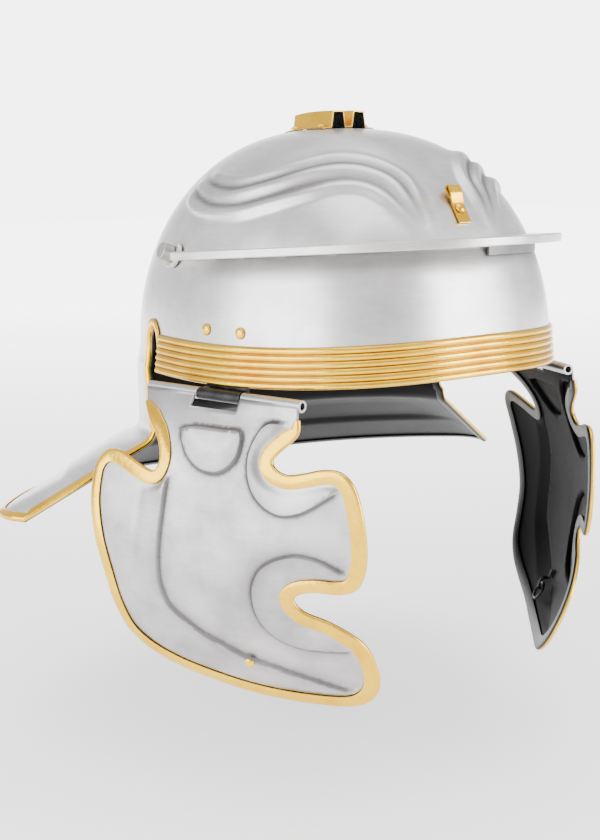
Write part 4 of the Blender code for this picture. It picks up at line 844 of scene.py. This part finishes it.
# Each crease has how far its raised side reaches, and the plate is raised on its left.
GUARD_CREASES = (
    (0.016, ((0.264, 0.050), (0.232, 0.054), (0.200, 0.082), (0.177, 0.143), (0.180, 0.205),
             (0.205, 0.266), (0.248, 0.311), (0.302, 0.335), (0.352, 0.331), (0.400, 0.310),
             (0.482, 0.251))),
    (0.016, ((0.506, 0.506), (0.468, 0.484), (0.429, 0.464), (0.382, 0.452), (0.340, 0.452),
             (0.283, 0.472), (0.238, 0.509), (0.213, 0.565), (0.209, 0.621), (0.219, 0.677),
             (0.246, 0.723), (0.290, 0.757), (0.342, 0.775), (0.403, 0.780), (0.477, 0.779))),
    (0.016, ((0.453, 0.939), (0.324, 0.888), (0.240, 0.857), (0.159, 0.829), (0.096, 0.796),
             (0.025, 0.759), (-0.047, 0.706), (-0.091, 0.663), (-0.111, 0.601),
             (-0.113, 0.538), (-0.106, 0.437), (-0.100, 0.348), (-0.101, 0.254))),
    (0.030, ((-0.111, 0.101), (-0.078, 0.153), (-0.040, 0.192), (0.013, 0.221), (0.076, 0.227),
             (0.121, 0.204), (0.148, 0.159), (0.137, 0.092), (0.051, 0.088), (-0.044, 0.088),
             (-0.111, 0.101))),
)


def guard_offset(u, v):
    """How far outward of the hinge line the dished plate lies."""
    below = max(v, 0.0)
    turned = 1 - math.exp(-below / DISH_START)
    start = (KNUCKLE - 0.00015) / math.cos(math.atan(FLARE))
    return start + FLARE * v - SAG * below * below - (DISH_LEAN * u + DISH * u * u) * turned


def guard_point(u, v, out=0.0):
    """Point of the left guard's outer face, u forward of the hinge's middle and v below it."""
    def at(a, b):
        return HINGE + FORWARD * a + OUTWARD * guard_offset(a, b) - Vector((0, 0, b))
    if not out:
        return at(u, v)
    normal = (at(u, v + 0.0005) - at(u, v - 0.0005)).cross(at(u + 0.0005, v) - at(u - 0.0005, v))
    normal = normal if normal.dot(OUTWARD) > 0 else -normal
    return at(u, v) + normal.normalized() * out


def strip_widths(line, width):
    """Place, inward side and width of a flat strip, narrower at its ends and in tight turns."""
    inward, runs = [], [0.0]
    for i in range(1, len(line)):
        runs.append(runs[-1] + (line[i] - line[i - 1]).length)
    widths = [width * min(1.0, 0.25 + min(run, runs[-1] - run) / (2.4 * width)) for run in runs]
    for i in range(len(line)):
        along = (line[min(i + 1, len(line) - 1)] - line[max(i - 1, 0)]).normalized()
        inward.append(Vector((along.y, -along.x, 0)))
    for step in range(60):
        for i in range(len(line) - 1):
            edge = line[i + 1] - line[i]
            end = edge + inward[i + 1] * widths[i + 1] - inward[i] * widths[i]
            if end.dot(edge) < 0.1 * edge.length_squared:
                widths[i] *= 0.96
                widths[i + 1] *= 0.96
    return list(zip(line, inward, widths))


def inside_line(point, line):
    """Whether a point lies inside a closed line."""
    inside = False
    for i, end in enumerate(line):
        start = line[i - 1]
        if (start.y > point.y) != (end.y > point.y):
            cross = start.x + (point.y - start.y) * (end.x - start.x) / (end.y - start.y)
            inside = inside != (point.x < cross)
    return inside


def past_crease(place, line):
    """How far a place lies on the raised side of a crease, less than zero on the other side."""
    best = (1e9, 0.0)
    for start, end in zip(line, line[1:]):
        along = end - start
        share = min(max((place - start).dot(along) / along.length_squared, 0.0), 1.0)
        off = place - start - along * share
        best = min(best, (off.length, along.y * off.x - along.x * off.y))
    return math.copysign(*best)


def guard_relief(place):
    """How far the plate is raised at a place, and how much painted shade darkens the crease there."""
    lift, shade_and_tarnish = 0.0, 0.0
    if not inside_line(place, hem_line):
        return lift, shade_and_tarnish
    fade = ease(distance_to_line(place, hem_line)[0] / HEM_FADE)
    for reach, line in creases:
        past = past_crease(place, line)
        # Painted shade along each crease, narrow and dark with a wide soft halo.
        dark = 0.55 * math.exp(-(past / FINE) ** 2) + 0.25 * math.exp(-(past / SPREAD) ** 2)
        shade_and_tarnish = max(shade_and_tarnish, dark * fade)
        if 0 < past < reach:
            lift = max(lift, GUARD_RELIEF * ease(past / RELIEF_STEP) * (1 - past / reach) * fade)
    return lift, shade_and_tarnish


guard_steel = satin_steel("dimmed_satin_steel", DIMMED_GUARD_LIGHT, DIMMED_GUARD_SHADE, SATIN)
guard_paint = black_paint("dull_black_paint", 1.07)
outline = curve_through([(u * GUARD_WIDTH, v * GUARD_DROP, 0) for u, v in GUARD_OUTLINE], 6)
hem = strip_widths(outline, GUARD_EDGE)
hem_line = [here + inward * width for here, inward, width in hem]
creases = [(reach, curve_through([(u * GUARD_WIDTH, v * GUARD_DROP, 0) for u, v in row], 5))
           for reach, row in GUARD_CREASES]
end, top = HINGE_LENGTH / 2 - GAP, -0.0010
corners = ((end, top), (MIDDLE_TO + 2 * GAP, top), (MIDDLE_TO + 2 * GAP, WINDOW_DROP),
           (MIDDLE_FROM - 2 * GAP, WINDOW_DROP), (MIDDLE_FROM - 2 * GAP, top), (-end, top))
border = outline + [Vector((u, v, 0)) for u, v in corners]
points = [p.to_2d() for p in border]
chains = []
for reach, line in creases:
    for offset in (0.0, RELIEF_STEP / 2, RELIEF_STEP):
        chain = []
        for i, here in enumerate(line):
            along = line[min(i + 1, len(line) - 1)] - line[max(i - 1, 0)]
            spot = here + Vector((along.y, -along.x, 0)).normalized() * offset
            if inside_line(spot, hem_line):
                chain.append(spot)
        chains.append(chain)
edges = []
laid = KDTree(sum(len(chain) for chain in chains))
for chain in chains:
    edges += [(len(points) + i, len(points) + i + 1) for i in range(len(chain) - 1)]
    points += [p.to_2d() for p in chain]
    for p in chain:
        laid.insert(p, 0)
laid.balance()
for row in range(1, 106):
    for column in range(-48, 56):
        spot = Vector(((column + row % 2 / 2) * MESH_WIDTH, row * MESH_DROP, 0))
        if laid.find(spot)[2] > MESH_CLEAR and inside_line(spot, border) \
                and distance_to_line(spot, border)[0] > MESH_CLEAR:
            points.append(spot.to_2d())
sheet = delaunay_2d_cdt(points, edges, [list(range(len(border)))], 1, 0.00001)
places, triangles = sheet[0], sheet[2]
reliefs = [guard_relief(place.to_3d()) for place in places]
for side, word in ((-1, "right"), (1, "left")):
    body = word + "_cheek_guard"
    bm = bmesh.new()
    layer = bm.verts.layers.float.new("shade_and_tarnish")
    verts = []
    for place, (lift, shade_and_tarnish) in zip(places, reliefs):
        verts.append(bm.verts.new(guard_point(place.x, place.y, lift)))
        verts[-1][layer] = shade_and_tarnish
    for face in triangles:
        bm.faces.new([verts[i] for i in face])
    bmesh.ops.recalc_face_normals(bm, faces=bm.faces)
    bm.normal_update()
    if sum(f.normal.dot(OUTWARD) for f in bm.faces) < 0:
        bmesh.ops.reverse_faces(bm, faces=bm.faces)
    plate = finish_mesh("cheek_plate_" + word, mirrored(bm, side), [guard_steel, guard_paint],
                        body, ["cheek_guard_" + word], 60)
    give_wall(plate, GUARD_SHEET)
    half = HINGE_LENGTH / 2
    for name, low, high in (("rear", -half, MIDDLE_FROM - GAP), ("front", MIDDLE_TO + GAP, half)):
        finish_mesh("knuckle_%s_%s" % (name, word), mirrored(tube(low, high, KNUCKLE, BORE), side),
                    [guard_steel], body, ["cheek_guard_" + word], 35, 0.0003)
    rings = []
    for here, inward, width in hem:
        ring = []
        for b, n in fold(width, width, GUARD_SHEET / 2 + EDGE_GAP):
            spot = here + inward * b
            ring.append(guard_point(spot.x, spot.y, n - GUARD_SHEET / 2))
        rings.append(ring)
    strip = skin(rings, stains_and_shade=paint_and_shade, layer_name="paint_and_shade")
    finish_mesh("cheek_edging_skin_" + word, mirrored(strip, side), [brass], body,
                ["cheek_edging_" + word], 45)


# A brass rivet at the chin holds a small brass strap inside the guard, in the same black as the
# guard's inside, and a dark ring for the chin tie hangs from the strap.
TIE_U, TIE_V, STRAP_WIDTH, STRAP_SPAN, STRAP_SHEET, STRAP_RISE = \
    0.0228, 0.1281, 0.0040, 0.0120, 0.0008, 0.0034
STAND_OFF, RING_RADIUS, RING_WIRE = 0.0008, 0.0050, 0.0008
spot = guard_point(TIE_U, TIE_V)
normal = (guard_point(TIE_U, TIE_V, 0.001) - spot).normalized()
along = (guard_point(TIE_U + 0.001, TIE_V) - spot).normalized()
down = normal.cross(along).normalized()
down = down if down.z < 0 else -down
inside = spot - normal * GUARD_SHEET
raised = guard_relief(Vector((TIE_U, TIE_V, 0)))[0]
for side, word in ((-1, "right"), (1, "left")):
    body = word + "_cheek_guard"
    seat, way = spot + normal * (raised + GAP), normal.copy()
    seat.x, way.x = seat.x * side, way.x * side
    dome("tie_rivet_skin_" + word, seat, way, 0.0027, 0.0015, brass, body, "brass",
         "tie_rivet_" + word)
    half, rings = STRAP_SPAN / 2, []
    path = curve_through([(-half, 0, 0), (-half * 0.1, 0, 0), (half * 0.25, STRAP_RISE, 0),
                          (half, STRAP_RISE, 0), (half + 0.0006, STRAP_RISE - 0.0012, 0),
                          (half + 0.0006, 0, 0)], 4)
    for i, p in enumerate(path):
        step = (path[min(i + 1, len(path) - 1)] - path[max(i - 1, 0)]).normalized()
        rings.append([inside + down * (p.x - step.y * level * STRAP_SHEET)
                      + along * w * STRAP_WIDTH / 2
                      - normal * (STAND_OFF + p.y + step.x * level * STRAP_SHEET)
                      for w, level in ((-1, 0), (1, 0), (1, 1), (-1, 1))])
    finish_mesh("tie_strap_skin_" + word, mirrored(skin(rings), side), [guard_paint], body,
                ["tie_strap_" + word], 40, 0.0002)
    slope = (down - normal * 0.105).normalized()
    face = along.cross(slope).normalized()
    crown = inside + down * (half * 0.62) - normal * (STAND_OFF + STRAP_RISE * 0.5)
    rings = []
    for k in range(48):
        a = math.tau * k / 48
        radial = along * math.sin(a) - slope * math.cos(a)
        middle = crown + (slope + radial) * RING_RADIUS
        rings.append([middle + radial * RING_WIRE * math.cos(b) + face * RING_WIRE * math.sin(b)
                      for b in [math.tau * j / 12 for j in range(12)]])
    finish_mesh("tie_ring_skin_" + word, mirrored(skin(rings, closed=True), side), [dark_steel],
                body, ["tie_ring_" + word], 60)


# Floor, light and camera. The floor and backdrop are plain pale paper, and the light is a soft
# white studio with large panels on the left and above and a narrower one at the front right.
def area(name, place, aim, size, power):
    """A soft white rectangular lamp that faces a point."""
    lamp = bpy.data.lights.new(name, "AREA")
    lamp.shape, lamp.size, lamp.size_y = "RECTANGLE", size[0], size[1]
    lamp.energy = power
    item = bpy.data.objects.new(name, lamp)
    item.location = place
    item.rotation_euler = (Vector(aim) - Vector(place)).to_track_quat("-Z", "Y").to_euler()
    bpy.context.scene.collection.objects.link(item)


YAW, PITCH, ROLL = math.radians(35.56), math.radians(-11.16), math.radians(-0.50)
EYE, LENS_MM, FLOOR, FLOOR_SIZE = (-0.4461, -0.5865, -0.0131), 57.24, -0.34, 6.0
toward = Vector((math.sin(YAW) * math.cos(PITCH), math.cos(YAW) * math.cos(PITCH), math.sin(PITCH)))
# Pale paper gives an even ground that runs into the backdrop, whiter the further off it lies.
paper, tree, shader, place = new_material("pale_paper", Roughness=0.9)
shader.inputs["Base Color"].default_value = linear("#fbfbfb")
shader.inputs["Emission Color"].default_value = linear("#ffffff")
reach = add(tree, "ShaderNodeVectorMath", {0: place, 1: toward},
            operation="DOT_PRODUCT").outputs["Value"]
glow = add(tree, "ShaderNodeMapRange", {"Value": reach, "From Min": 0.4, "From Max": 2.2,
           "To Min": 0.75, "To Max": 4.5}).outputs["Result"]
tree.links.new(glow, shader.inputs["Emission Strength"])
bm = bmesh.new()
bmesh.ops.create_grid(bm, x_segments=1, y_segments=1, size=FLOOR_SIZE)
bmesh.ops.translate(bm, verts=bm.verts, vec=(0, 0, FLOOR))
mesh = bpy.data.meshes.new("floor")
bm.to_mesh(mesh)
bm.free()
mesh.materials.append(paper)
floor = bpy.data.objects.new("floor", mesh)
bpy.context.scene.collection.objects.link(floor)

world = bpy.data.worlds.new("studio")
world.use_nodes = True
sky = world.node_tree
way = sky.nodes.new("ShaderNodeTexCoord").outputs["Generated"]
facing = add(sky, "ShaderNodeVectorMath", {0: way, 1: toward},
             operation="DOT_PRODUCT").outputs["Value"]
glow = add(sky, "ShaderNodeMapRange", {"Value": facing, "From Min": 0.84, "From Max": 0.925,
           "To Min": 1.25, "To Max": 5.5}).outputs["Result"]
sky.nodes["Background"].inputs["Color"].default_value = linear("#ffffff")
sky.links.new(glow, sky.nodes["Background"].inputs["Strength"])
bpy.context.scene.world = world
area("left_panel", (-1.85, -0.05, 0.3), (0, 0, -0.06), (2.2, 1.5), 50)
area("top_panel", (0.0, -0.2, 1.7), (0, 0, 0), (1.8, 1.8), 26)
area("front_panel", (1.0, -1.45, 0.1), (0, 0, -0.06), (0.9, 1.4), 38)

right = Vector((math.cos(YAW), -math.sin(YAW), 0))
up = right.cross(toward)
turned_right = right * math.cos(ROLL) + up * math.sin(ROLL)
turned_up = up * math.cos(ROLL) - right * math.sin(ROLL)
lens = bpy.data.cameras.new("photo_camera")
lens.sensor_fit, lens.sensor_height, lens.lens = "VERTICAL", 36.0, LENS_MM
camera = bpy.data.objects.new("photo_camera", lens)
pose = Matrix((turned_right, turned_up, -toward)).transposed().to_4x4()
camera.matrix_world = Matrix.Translation(EYE) @ pose
bpy.context.scene.collection.objects.link(camera)
bpy.context.scene.camera = camera
